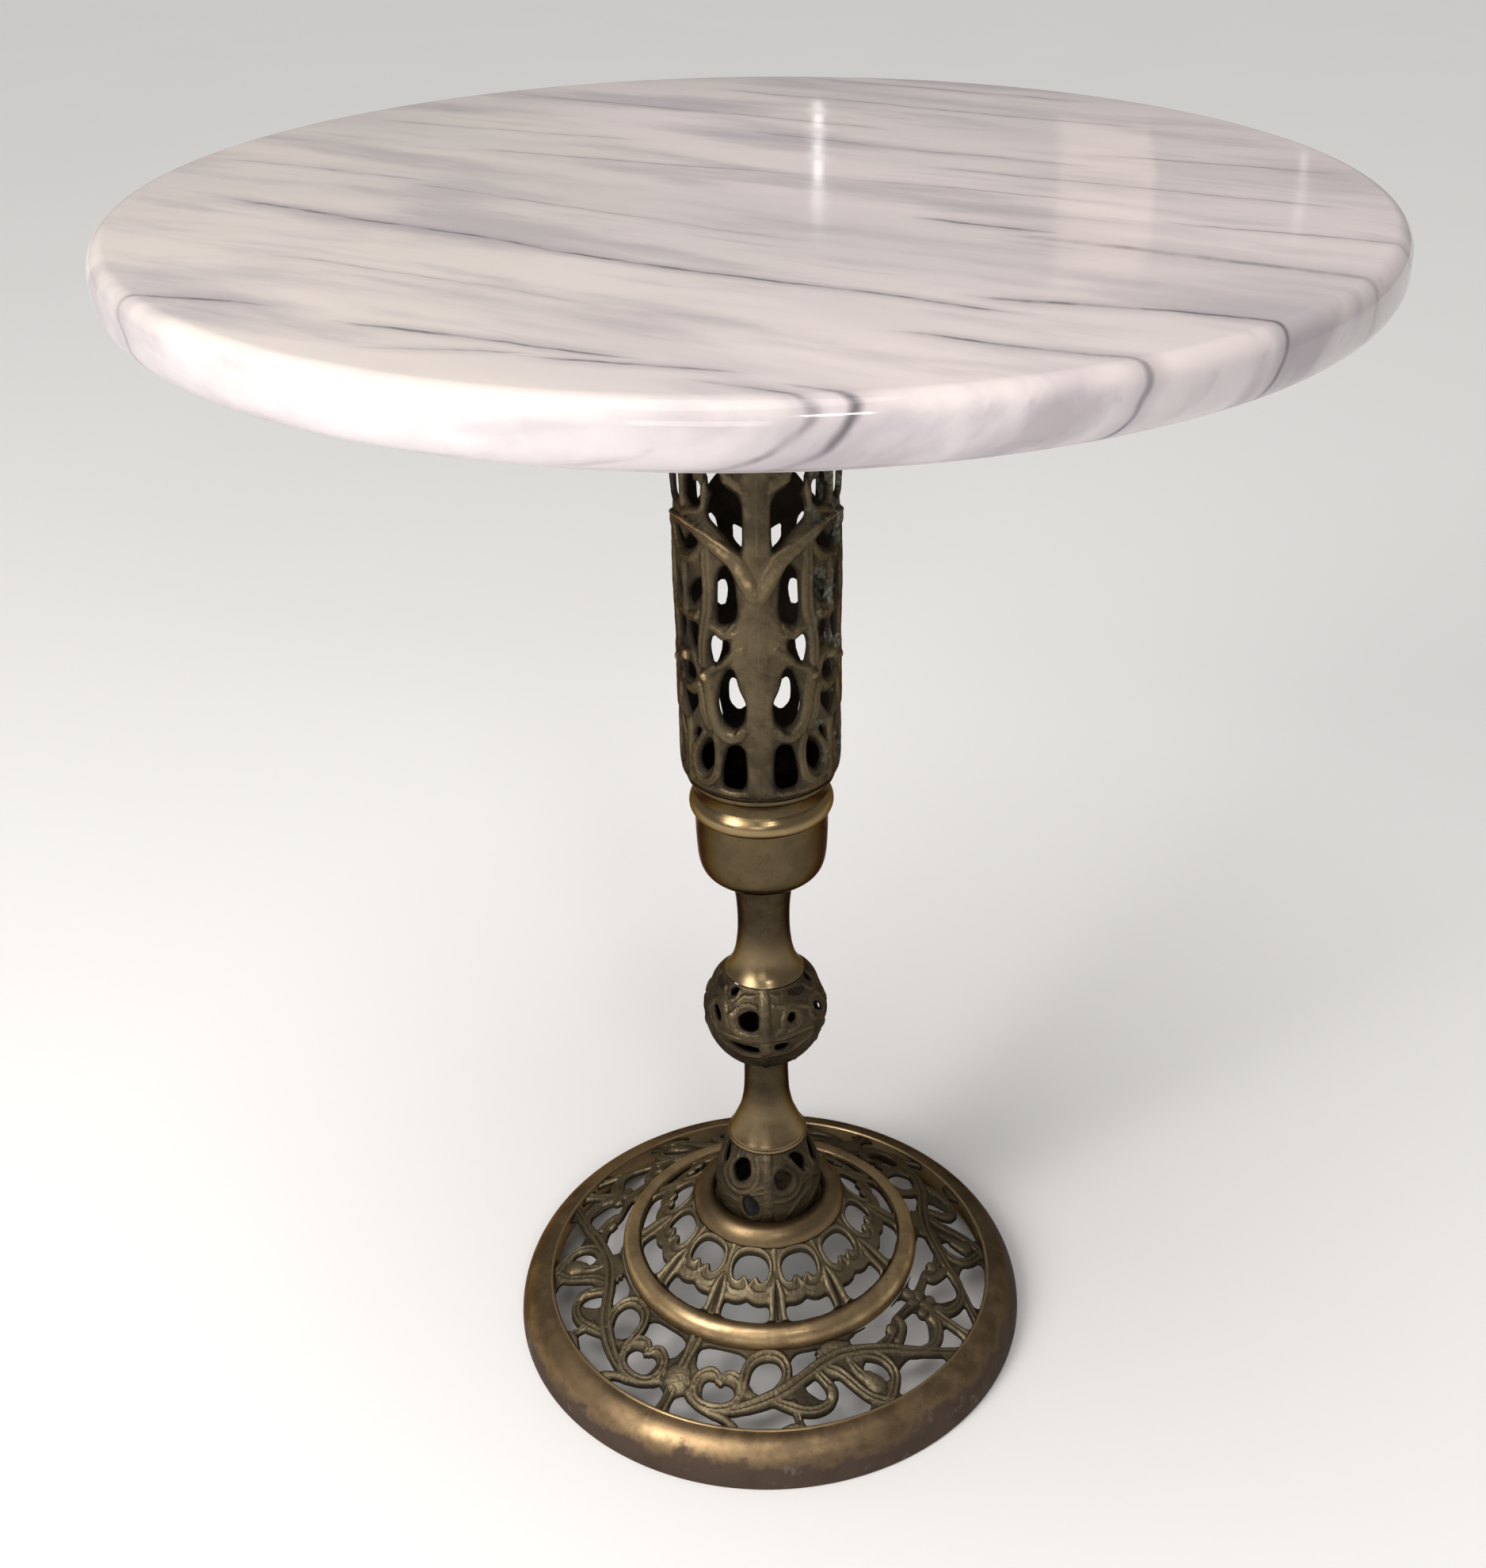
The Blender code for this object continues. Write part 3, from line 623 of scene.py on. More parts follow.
# The cup's band on its bead is worn brass with a painted highlight.
CUP_BRASS = brass_material("cup_brass", (0.112, 0.082, 0.043), (0.086, 0.064, 0.035),
                           (0.026, 0.020, 0.014), 0.22, worn_and_lit_bands=[(373.0, 376.0, 382.6, 386.4)],
                           worn_highlight_colour=(0.310, 0.222, 0.114))
FOOT_CAST = brass_material("foot_cast_brass", (0.172, 0.137, 0.083), (0.058, 0.048, 0.033),
                           (0.018, 0.015, 0.011), 0.42, cast=True)
SHAFT_CAST = brass_material("shaft_cast_brass", (0.118, 0.091, 0.053), (0.044, 0.034, 0.023),
                            (0.014, 0.011, 0.008), 0.33, cast=True)
STEEL = steel_material()


# ---------------------------------------------------------------- the marble top

EASE_RADIUS, EASE_HEIGHT = 9.0, 11.0
SOCKET_RADIUS, SOCKET_TOP, SOCKET_CIRCLE, SOCKET_SIDES = 5.3, 698.0, 55.0, 24


def ellipse_arc(centre, radii, start, end, count):
    """Points on an ellipse in the (radius, height) plane, angle 0 pointing up."""
    angles = np.radians(np.linspace(start, end, count + 1))
    return [(centre[0] + radii[0] * math.sin(a), centre[1] + radii[1] * math.cos(a)) for a in angles]


def build_top():
    """The stone disc: eased top edge, rounded lower edge, and four sockets underneath."""
    high = TABLE_HEIGHT
    low = TABLE_HEIGHT - TOP_THICKNESS
    flat = TOP_RADIUS - EASE_RADIUS
    eased = (EASE_RADIUS, EASE_HEIGHT)
    section = [(0.0, high), (200.0, high)] + ellipse_arc((flat, high - EASE_HEIGHT), eased, 0.0, 90.0, 10)
    section += ellipse_arc((flat, low + EASE_HEIGHT), eased, 90.0, 180.0, 10)
    verts, rings, faces = turn(section, False)
    rim = [verts[k][:2] for k in rings[-1]]
    turns = [math.tau * k / SOCKET_SIDES for k in range(SOCKET_SIDES)]
    sockets = []
    for number in range(4):
        angle = math.radians(45.0 + 90.0 * number)
        hub_x, hub_y = SOCKET_CIRCLE * math.sin(angle), -SOCKET_CIRCLE * math.cos(angle)
        sockets.append([((hub_x + SOCKET_RADIUS * math.cos(t)) * MM,
                         (hub_y + SOCKET_RADIUS * math.sin(t)) * MM) for t in turns])
    hubs = [Vector((sum(p[0] for p in loop), sum(p[1] for p in loop))) / SOCKET_SIDES for loop in sockets]
    points = []
    edges = []
    for loop in [rim] + sockets:
        first = len(points)
        edges += [(first + k, first + (k + 1) % len(loop)) for k in range(len(loop))]
        points += [Vector(point) for point in loop]
    flat_points, _, triangles, *_ = delaunay_2d_cdt(points, edges, [], 1, 1e-7)
    index = list(rings[-1])
    for loop in sockets:
        index += range(len(verts), len(verts) + SOCKET_SIDES)
        verts += [(px, py, low * MM) for px, py in loop]
    for triangle in triangles:
        middle = sum((flat_points[k] for k in triangle), Vector((0.0, 0.0))) / 3.0
        if all((middle - hub).length > SOCKET_RADIUS * MM * 0.995 for hub in hubs):
            faces.append(tuple(index[k] for k in reversed(triangle)))
    for number, loop in enumerate(sockets):
        base = rings[-1][-1] + 1 + number * SOCKET_SIDES
        roof = len(verts)
        verts += [(px, py, SOCKET_TOP * MM) for px, py in loop]
        sides = [(k, (k + 1) % SOCKET_SIDES) for k in range(SOCKET_SIDES)]
        faces += [(base + k, base + m, roof + m, roof + k) for k, m in sides]
        faces.append(tuple(roof + k for k in reversed(range(SOCKET_SIDES))))
    settle(publish("marble_disc", verts, faces, "marble_top", MARBLE, sharp=40.0))


# ---------------------------------------------------------------- turned parts

def build_turned():
    """Rings, cup and necks, on the CAD sections with their curves drawn fine."""
    crown = [(139.8, 27.4), (140.2, 28.1), (140.9, 28.5), (141.7, 28.3), (142.2, 27.7)]
    crown += ellipse_arc((143.0, 2.0), (18.4, 25.6), 0.0, 90.0, 20)
    inside = curve([(139.7, 18), (141.4, 13), (144, 9), (147, 4.6), (150, 0)], 4)
    lathe("foot_rim", "base_rim", RIM_BRASS,
          [*crown, (161.2, 0.8), (160.6, 0), *inside[::-1]])

    top = ellipse_arc((87.2, 46.0), (7.2, 11.3), 0.0, 90.0, 14)
    shoulder = curve([(82.2, 54.5), (84, 56.6), top[0]], 4)[:-1]
    lathe("foot_middle_ring", "middle_ring", RING_BRASS,
          [*shoulder, *top, (93.6, 42.6), (88, 43.5), (82.2, 51)])

    crown = curve([(33.9, 91.8), (35.5, 93.3), (38.6, 94.1), (41.8, 93.5), (44.7, 91.2), (46.8, 87.8),
                   (47.9, 84)], 5)
    lathe("foot_inner_ring", "inner_ring", CROWN_BRASS,
          [*crown, (47.6, 81), (46, 78), (29.5, 78), (29.5, 88), (33.9, 88)])

    collar = [(41.4, 397.7), (41.5, 396.2), (41, 395), (40.1, 394.2)]
    waist = curve([(40.1, 394.2), (38.9, 391.4), (37.9, 388.2), (37.5, 385.4)], 5)
    bead = curve([(37.5, 385.4), (38.4, 383.6), (39.7, 381.5), (40.5, 379), (40.5, 376.5), (39.7, 374.4)], 5)
    step = [(39, 373.6), (38.1, 372.9), (37.9, 371.4)]
    bowl = curve([(37.9, 371.4), (37.5, 366), (37.4, 360), (37.1, 352), (36.7, 345.5), (36, 340.5),
                  (34.8, 336.6), (32.9, 333.6), (30.2, 331.3), (27.4, 330.2)], 5)
    lathe("cup", "column_cup", CUP_BRASS,
          [*collar, *waist[1:], *bead[1:], *step, *bowl[1:], (26, 330), (BORE_RADIUS, 330),
           (BORE_RADIUS, 336), (28, 336), (33.4, 342), (34.6, 372), (35.3, 402), (37.7, 402), (37.7, 397.7)])

    upper = curve([(19.9, 329.7), (18.3, 324.6), (17.2, 320), (15.9, 312), (15.2, 301), (15.3, 290),
                   (15.9, 283), (16.8, 277), (18.3, 271.2), (20.6, 266), (23.4, 262.2)], 6)
    lathe("upper_neck", "upper_spindle", SHADED_NECK_BRASS,
          [*upper, (23.5, 261.9), (20.8, 261.9), (16, 267), (BORE_RADIUS, 268), (BORE_RADIUS, 329.7)])

    lower = curve([(13.5, 197.5), (13.3, 190), (13.5, 180), (13.9, 172), (14.8, 165), (16.5, 157.4),
                   (19.7, 149.2), (21.9, 144.2), (23.1, 141.8)], 6)
    fillet = [(23.4, 141.2), (23.5, 140.7), (24.3, 140.3), (24.6, 139.5), (24.6, 138.3), (24.2, 137.6),
              (23.9, 137.3)]
    lathe("lower_neck", "lower_spindle", SHADED_NECK_BRASS,
          [(13.2, 197.8), *lower, *fillet, (18.5, 137.3), (18.5, 131), (BORE_RADIUS, 131),
           (BORE_RADIUS, 195.8), (9.3, 196)])

    lathe("head_cap", "column_cap", CUP_BRASS,
          [(46, 672.4), (46, 671), (45.3, 670.3), (40.8, 670.3), (40.8, 662.6), (40.2, 662),
           (BORE_RADIUS, 662), (BORE_RADIUS, 673), (45.4, 673)])


# ---------------------------------------------------------------- the foot's openwork

# Azimuth and radius. The vine band runs from a front rosette (0) to a side rosette (90).
SCROLL_HOLES = [
    (3.2, 97.6, 19.3, 97.6, 18.5, 108.5, 13.5, 107.8, 10, 106.8, 5, 109.5),
    (9, 116, 12.5, 116.5, 16.2, 117, 17.2, 121, 13.5, 126.3, 9.5, 124),
    (2, 130.5, 5, 127, 8.5, 131, 13.5, 134, 17, 138.4, 2.7, 138.6),
    (21.6, 110, 23, 104, 25.5, 100.3, 30, 101, 31.6, 107, 28.5, 116.5, 25.3, 119.5, 24, 116),
    (36.5, 97.6, 47.3, 97.8, 41.5, 105.3, 35.2, 112),
    (17.5, 130.5, 28.5, 126.5, 34.3, 131.5, 33, 136, 30.3, 138.6, 20.5, 138.6),
    (39, 116, 41.3, 113.2, 43.2, 118.5, 43.2, 124.5),
    (37, 132, 40.5, 133.5, 44.5, 130.5, 47.2, 124, 48, 115.5, 52, 127, 54.5, 134.5, 51, 138.6, 38, 138.6),
    (57.8, 116.5, 60.8, 112.3, 63.1, 120, 62.4, 127),
    (57, 96.8, 85.5, 96.4, 86.5, 100.5, 78.5, 100, 74, 102, 70, 106.5, 63.5, 105),
    (73, 118.5, 74.5, 113.5, 78.2, 111.5, 80, 106, 84.5, 106.2, 85.5, 114, 79.5, 123.5),
    (62.5, 138.6, 67.3, 126.3, 72, 124.7, 76, 131, 80.5, 138.6),
    (81.5, 130.4, 88, 126.6, 88.6, 135, 85.5, 138.6),
]
SCROLL_STROKES = [
    (0.55, 0.16, 0, 94, 4.6, 0.2, 100, 3.6, 0, 106, 3.2, 0, 112, 3.6),
    (0.28, 0, 0, 118.6, 7.4, 0.1, 119.4, 7.4),
    (0.6, 0, 0, 118.8, 1.9, 0.1, 119.2, 1.9),
    (0.55, 0, 1, 114.2, 1.9, 1.1, 114.6, 1.9),
    (0.55, 0, 2.4, 117.6, 1.9, 2.5, 118, 1.9),
    (0.55, 0, 1.9, 121.8, 1.9, 2, 122.2, 1.9),
    (0.5, 0, 0, 123.6, 1.7, 0.1, 124, 1.7),
    (0.6, 0.3, 0, 127, 3.6, 0.1, 133, 3, 0, 139.5, 3.8),
    (0.62, 0.18, 6, 124.5, 2.6, 5.6, 118, 2.6, 6.6, 112.6, 2.6, 9.2, 109.6, 2.6, 11.4, 110.6, 2.3,
     12.2, 113.6, 1.9),
    (0.62, 0.18, 19.2, 121, 2.6, 19.2, 114.4, 2.6, 17.6, 110.6, 2.6, 15, 109.8, 2.4, 13.5, 112, 2.1,
     13.2, 114.8, 1.7),
    (0.62, 0.16, 5.6, 122, 2.6, 7.4, 127.2, 2.8, 11, 129.6, 2.8, 15, 129, 2.8, 18, 126, 2.8, 19.3, 121, 2.6),
    (0.6, 0, 4.6, 124.6, 2, 7.6, 129.6, 2, 11.4, 132, 2, 15.2, 133.4, 2.1, 18, 136.6, 2.3, 19.2, 140, 3.2),
    (0.66, 0.22, 17, 127, 1.8, 19.8, 120, 2.7, 20, 112, 3, 20.8, 104, 3, 23.4, 98.6, 3, 27.6, 96.6, 3,
     31.4, 98.2, 3, 33.4, 102.6, 3, 33.6, 108, 2.9, 32.4, 113, 2.8, 30, 117.6, 2.6),
    (0.5, 0, 21, 119, 2.4, 23.6, 120, 1.8, 25.4, 121.6, 1),
    (0.6, 0.2, 13, 131, 1.4, 18, 129.2, 2.4, 23.5, 125, 3.4, 28.5, 121, 3.9, 33.5, 116.6, 3.9,
     38.5, 111.2, 3.7, 43.5, 107, 3.6, 48.5, 104.4, 3.5, 53.5, 103.6, 3.4, 58.5, 105.2, 3.3, 63.5, 108.6, 3.3,
     68.5, 113.4, 3.3, 73, 120, 3, 78, 128.4, 2.6, 82, 136, 2.6, 84, 141, 3.2),
    (0.45, 0, 45.5, 100, 2.6, 50.5, 98, 3.6, 56, 100, 2.6),
    (0.62, 0.18, 46.6, 108.4, 2.4, 49.6, 112, 2.8, 51.6, 117.6, 2.9, 53.4, 124.6, 2.8, 55.2, 131, 2.7,
     57.6, 136, 2.8, 60, 140, 3),
    (0.62, 0.22, 55, 107, 2.4, 60, 108.8, 2.9, 63.6, 113.4, 3, 65.2, 119.6, 3, 65, 126.6, 2.9, 62.4, 133, 2.8,
     59.4, 138, 3),
    (0.45, 0, 57.6, 121, 3.4, 58.7, 127, 5.2),
    (0.55, 0.15, 54.8, 110, 1.6, 55.4, 115, 2.4, 56.6, 120, 2.6),
    (0.7, 0.18, 29.6, 123.4, 2, 33.6, 126.6, 2.8, 37, 129.6, 2.6, 40.4, 130.6, 2.6, 43.4, 129, 2.7,
     45.6, 125.4, 3, 46, 120.6, 3.1, 45, 116, 2.8, 43.8, 111.6, 2.4),
    (0.75, 0, 45.6, 124.6, 3.4, 45.9, 121.6, 3.2),
    (0.6, 0.24, 34.6, 125, 2, 35.2, 131, 2.1, 35.6, 136, 2.3, 35.4, 140, 3.4),
    (0.6, 0, 31.4, 139.6, 2, 34, 138.6, 2.6, 36.6, 139.8, 2),
    (0.9, 0, 73.2, 105.2, 3.2, 73.6, 105.6, 3),
    (0.62, 0.16, 66, 108.6, 2.2, 70.4, 108.4, 2.6, 74.4, 105.6, 2.4, 77.6, 102.8, 2.4, 82, 102.6, 2.3,
     87, 103.4, 2.8),
    (0.66, 0, 78.6, 103.6, 2.4, 78, 107.4, 2.5, 75.6, 110.4, 2.3, 72.6, 113, 2.4),
    (0.62, 0.16, 71, 118, 2.6, 74.6, 123.4, 2.7, 78.6, 126.8, 2.7, 82.6, 126.8, 2.7, 86.4, 123.4, 2.8,
     88.2, 118, 2.8),
    (0.6, 0, 90, 98, 3.4, 90, 100, 3.4),
    (0.62, 0, 87.6, 103, 3, 88.4, 104.4, 2.8),
    (0.62, 0, 86.8, 111.4, 3, 88, 111, 2.8),
    (0.62, 0, 87.8, 118.4, 3.2, 88.8, 117, 2.8),
    (0.6, 0, 90, 110.6, 3.6, 90, 111.4, 3.6),
    (0.6, 0.22, 90, 118, 3.4, 90, 127, 3, 90, 134, 3, 90, 140, 4),
]
SCROLL_SPAN = (94.7, 139.4)
SCROLL_HEIGHTS = (45.6, 26.8)
GROOVE_DEPTH = 2.1
STROKE_WIDTHS = (1.0, 1.0, 1.12)

# Azimuth and radius, from the middle of an arch (0) to the middle of a spoke (15).
ARCH_HOLES = [
    (-11, 58.6, -11.2, 55, -9, 51.6, -5, 49.9, 0, 49.4, 5, 49.9, 9, 51.6, 11.2, 55, 11, 58.6, 9.8, 61.8,
     7.6, 63.6, 5.8, 62.6, 4.2, 60.6, 2.6, 61, 1.2, 62.4, 0, 62, -1.2, 62.4, -2.6, 61, -4.2, 60.6, -5.8, 62.6,
     -7.6, 63.6, -9.8, 61.8),
    (-10.8, 72.8, -6, 73.4, -2.6, 72.6, 0, 71, 2.6, 72.6, 6, 73.4, 10.8, 72.8, 11.3, 78, 10.6, 81.8,
     -10.6, 81.8, -11.3, 78),
]
ARCH_STROKES = [
    (0.95, 0, 0, 48.4, 1, 5, 48.9, 1, 9.6, 50.6, 1.1, 12.2, 54.4, 1.2, 12.3, 58.6, 1.2, 10.9, 62.6, 1.2,
     8, 65, 1.3, 5.2, 64.8, 1.3, 3.9, 62.9, 1.2, 2.8, 62.4, 1.1, 1.6, 64.2, 1.2, 0, 66.6, 1.4),
    (0.6, 0, 0, 66.6, 1.6, 2.4, 68.6, 1.5, 5.6, 69.4, 1.5, 9.4, 68.8, 1.4, 11.6, 66.2, 1.1),
    (0.45, 0, 0, 69.6, 1.8, 3, 71.2, 1.8, 7, 72, 1.8, 11, 71.6, 1.8),
    (0.75, 0, 14.4, 62.4, 0.8, 13.2, 66, 1.7, 12.5, 70, 2.1, 12.3, 75, 2.1, 12.3, 79, 2.1, 11.6, 83.5, 2.8),
    (0.4, 0, 15, 48, 1.6, 15, 53, 1.1, 15, 58, 0.8),
    (-0.7, 0, 15, 64.5, 0.6, 15, 69, 1.2, 15, 74, 1.2, 15, 80, 0.8),
]
ARCH_SPAN = (48.3, 81.9)
ARCH_HEIGHTS = (84.0, 56.0)


def polar(flat):
    """Points on a plane from azimuths and radii."""
    angle = np.radians(flat[:, 0])
    return np.stack([flat[:, 1] * np.sin(angle), flat[:, 1] * np.cos(angle)], axis=1)


def cone(span, heights, slope=1.0, share=1.0):
    """Places on a band of the foot, which falls from one height to another over a span of radii."""
    fall, width = heights[1] - heights[0], span[1] - span[0]
    return lambda u, v, lift: around(u, v, heights[0] + fall * (v - span[0]) / width + lift / slope * share)


def build_scroll():
    """The vine band, mirrored round the foot."""
    strokes = [(fullness, groove * GROOVE_DEPTH, path * STROKE_WIDTHS)
               for fullness, groove, path in strokes_of(SCROLL_STROKES)]
    casting("foot_scrolls", "scroll_band", FOOT_CAST, outlines(SCROLL_HOLES), strokes, polar,
            np.linspace(94.0, 140.1, 64), SCROLL_SPAN, cone(SCROLL_SPAN, SCROLL_HEIGHTS), arc=90.0,
            spacing=0.36, wall=4.0, start=ROSETTE_AZIMUTH, edge=1.3, texture=0.10, grow=1.9, reach=1.0,
            sink=1.5)


def build_lattice():
    """Twelve horseshoe arches over twelve windows, mirrored about each arch and each spoke."""
    slope = math.cos(math.atan2(ARCH_HEIGHTS[0] - ARCH_HEIGHTS[1], ARCH_SPAN[1] - ARCH_SPAN[0]))
    casting("foot_arches", "lattice_band", FOOT_CAST, outlines(ARCH_HOLES), strokes_of(ARCH_STROKES), polar,
            np.linspace(47.8, 82.4, 66), ARCH_SPAN, cone(ARCH_SPAN, ARCH_HEIGHTS, slope, share=0.9), arc=15.0,
            spacing=0.375, wall=4.2, start=ARCH_AZIMUTH, texture=0.06, sink=0.9)


# ---------------------------------------------------------------- the column

# Azimuth and height in half a panel, from its rib (0) to its centre line (60).
COLUMN_END_HOLES = [
    (10.8, 406, 27, 406, 28.8, 412, 26.4, 422, 23.5, 431, 15, 432.6, 11, 428),
    (9.8, 457, 12, 447, 18, 442.5, 26, 445.5, 30.8, 455, 28.5, 467, 23, 476.5, 18.5, 476.5, 15.6, 466),
    (21.6, 488.5, 22, 492.8, 33.9, 495, 36.4, 488, 33, 477.5, 27.5, 481),
    (49.6, 421.5, 43, 430.5, 37.2, 434, 34.5, 425.6, 37.2, 418, 43.7, 412.4, 49, 415.2),
    (46.4, 435.4, 50.5, 437.4, 55, 431.5, 52.5, 429),
    (46.5, 458.4, 53, 455, 60, 454, 67, 455, 73.5, 458.4, 66, 448, 60, 443, 54, 448),
    (50.2, 473, 69.8, 473, 65.8, 464.6, 54.2, 464.6),
    (46.4, 498.2, 57.8, 497.4, 55.4, 490, 50.4, 483.4),
]
COLUMN_MIDDLE_HOLES = [
    (16.6, 506, 15.2, 512, 16.6, 527, 22.2, 536, 28.2, 530, 29.2, 516, 29, 502.2, 22, 503.4),
    (12.8, 543.6, 10.8, 547, 10.5, 567.5, 13.1, 573.2, 22, 577, 32, 572.4, 36.2, 560.5, 25.5, 554.3,
     18, 548.3),
    (39.8, 526.6, 49.5, 522, 57.4, 514.5, 52.5, 509, 43, 516.6),
    (40, 568.6, 43, 578.6, 57.4, 569.5, 53, 564.6, 46, 562.6),
    (43.4, 544.4, 49.5, 550, 60, 542.6, 60, 537.6, 54.5, 539.2),
]
COLUMN_END_STROKES = [
    (0.44, 0, 40, 471, 3.8, 37.8, 461, 3.8, 36, 451, 3.8, 32, 442, 3.7, 24, 437, 3.5, 16.5, 437.6, 3.2,
     11.5, 440.6, 2.6),
    (0.8, 0, 15.2, 440, 2.2, 14.4, 441, 2.1),
    (0.52, 0, 40.4, 471.4, 3, 33.6, 476.4, 2.7, 26, 479.6, 2.4, 20, 484.6, 2.9, 12, 489, 3.4),
    (0.85, 0, 41.2, 470.6, 3, 40.4, 470.4, 3),
    (0.52, 0.16, 33.4, 436.6, 2.2, 31.4, 425, 2.9, 33.6, 413, 2.9, 41, 406.8, 2.8, 50, 407.2, 2.7,
     56.2, 413.2, 2.6, 55.4, 422, 2.5, 50, 429.6, 2.2, 44, 435.6, 2.2),
    (0.5, 0, 60, 404, 3, 60, 420, 2.8, 60, 438, 3.2),
    (0.55, 0.16, 38, 441, 2.6, 42.6, 448, 3, 45, 458, 3, 48.6, 463.4, 2.6, 54, 460.6, 2.4, 60, 459, 2.4),
    (0.85, 0, 59.6, 477.5, 3.2, 60, 478.5, 3.2),
    (0.55, 0, 46.5, 471, 2.2, 49.5, 477.5, 2.4, 55, 480.5, 2.3, 60, 479.6, 2.4),
    (0.5, 0, 9, 402.6, 2, 24, 402.4, 2.2, 42, 402.2, 2.4, 60, 402.4, 2.6),
]
COLUMN_MIDDLE_STROKES = [
    (0.13, 0, 0, 396, 7.6, 0, 672, 7.6),
    (0.2, 0, 10, 474, 4, 13.5, 484, 6, 11.5, 496, 5, 7, 510, 4),
    (0.24, 0, 0, 396, 0.7, 0, 672, 0.7),
    (0.4, 0, 2, 520, 5, 10, 532, 5.4, 18, 540, 5, 28, 545, 4.8, 38, 548.6, 4.4, 50, 551.6, 3.4,
     60, 553.6, 2.8),
    (1.3, 0, 9, 538.6, 1, 14, 542.9, 1.5, 20, 545.6, 1.6, 30, 549.4, 1.6, 38.4, 552, 1.6, 50, 553.8, 1.6,
     60, 554.6, 1.7),
    (0.55, 0, 60, 557.6, 2.4, 52, 560.4, 2.3, 44, 562.2, 2, 39, 565.4, 2, 37.2, 573, 2.4, 33, 580, 2.4),
    (0.44, 0.14, 37, 548, 2.8, 37.2, 538, 3.4, 36.6, 526, 4, 36.4, 512, 4.2, 39.6, 500, 3.9, 42, 489, 3.8,
     42.6, 478, 3.4),
    (0.62, 0, 36, 500, 2.2, 30, 498.6, 1.9, 24.6, 496.6, 1.9, 20.6, 499.4, 1.6, 17.6, 502.6, 1.4),
    (0.8, 0, 29.4, 496, 1.4, 25.4, 494.6, 1.5, 22.6, 495.6, 1.3),
    (0.55, 0, 12, 500, 2, 17, 497, 2.2, 21, 497, 2),
    (0.55, 0.12, 60, 533.6, 2.8, 52, 534.6, 2.6, 45, 539.6, 2.4, 41, 546, 2.2),
    (0.55, 0, 60, 503, 3, 60, 514, 2.4, 60, 530, 2.8),
    (0.6, 0, 46, 505, 2.3, 53, 503, 2.3, 60, 503, 2.6),
    (0.9, 0, 46.6, 503.4, 2.3, 47, 503, 2.2),
    (0.6, 0, 9, 576, 2.2, 18, 580.6, 2.4, 27, 580.6, 2.4),
    (0.6, 0, 60, 563, 2.2, 60, 575, 2.4, 60, 585, 2.6),
]
PANEL_SPACING, PANEL_ROW = 0.9375, 0.8
PANEL_SEAM, PANEL_WALL, PANEL_SINK, PANEL_SKIN = 0.04, 2.1, 1.5, 0.10
PANEL_EDGE, PANEL_EDGE_SHARE = 3.0, 0.62
PANEL_TUCK, PANEL_TUCK_HEIGHT, PANEL_INNER_RADIUS = 2.4, 8.0, 39.4


def build_column():
    """Three cast panels, each a fine relief, butted along the middle of the ribs.

    The pattern at the column's foot is turned over for its head.
    """
    turn_over = COLUMN_FOOT + COLUMN_HEAD
    holes = outlines(COLUMN_END_HOLES)
    holes += [hole * (1, -1) + (0.0, turn_over) for hole in holes] + outlines(COLUMN_MIDDLE_HOLES)
    ends = strokes_of(COLUMN_END_STROKES)
    strokes = strokes_of(COLUMN_MIDDLE_STROKES) + ends
    strokes += [(fullness, groove, path * (1, -1, 1) + (0.0, turn_over, 0.0))
                for fullness, groove, path in ends]
    half = int(round(PANEL_ARC / 2.0 / PANEL_SPACING))
    vs = np.arange(COLUMN_FOOT - PANEL_ROW, COLUMN_HEAD + 1.5 * PANEL_ROW, PANEL_ROW)
    degree = math.radians(1.0) * COLUMN_RADIUS

    def embed(points):
        return np.stack([points[:, 0] * degree, points[:, 1]], axis=1)

    columns = np.arange(-1, 2 * half + 2)
    clear, height = unit_relief(holes, strokes, embed, np.arange(half + 1) * PANEL_SPACING, vs, columns,
                                mirror=True, grow=0.5, reach=0.5)
    us = columns * PANEL_SPACING
    rows = vs[:, None]
    side = np.minimum(us * degree, (PANEL_ARC - us) * degree)[None, :] - PANEL_SEAM
    solid = np.minimum(np.minimum(clear, np.minimum(rows - COLUMN_FOOT, COLUMN_HEAD - rows)), side)
    base_lift = PANEL_EDGE_SHARE * edge_round(np.maximum(clear, 0.0), PANEL_EDGE) + height
    for number in range(3):
        azimuth = PANEL_ARC * number
        skin = casting_skin(us + azimuth, rows) * PANEL_SKIN * np.clip(clear / EDGE_FADE, 0.0, 1.0)

        def place(u, v, rise):
            tuck = PANEL_TUCK * np.clip(1.0 - (v - COLUMN_FOOT) / PANEL_TUCK_HEIGHT, 0.0, 1.0) ** 2
            radius = COLUMN_RADIUS - PANEL_SINK - tuck + rise
            return around(u + azimuth, np.maximum(radius, PANEL_INNER_RADIUS), v)

        verts, faces, relief = pierced(us, vs, solid, base_lift + skin, place, PANEL_WALL, False)
        publish(f"column_casting_{number + 1}", verts, faces, f"column_panel_{number + 1}",
                SHAFT_CAST, relief)


# ---------------------------------------------------------------- the ball and the bell

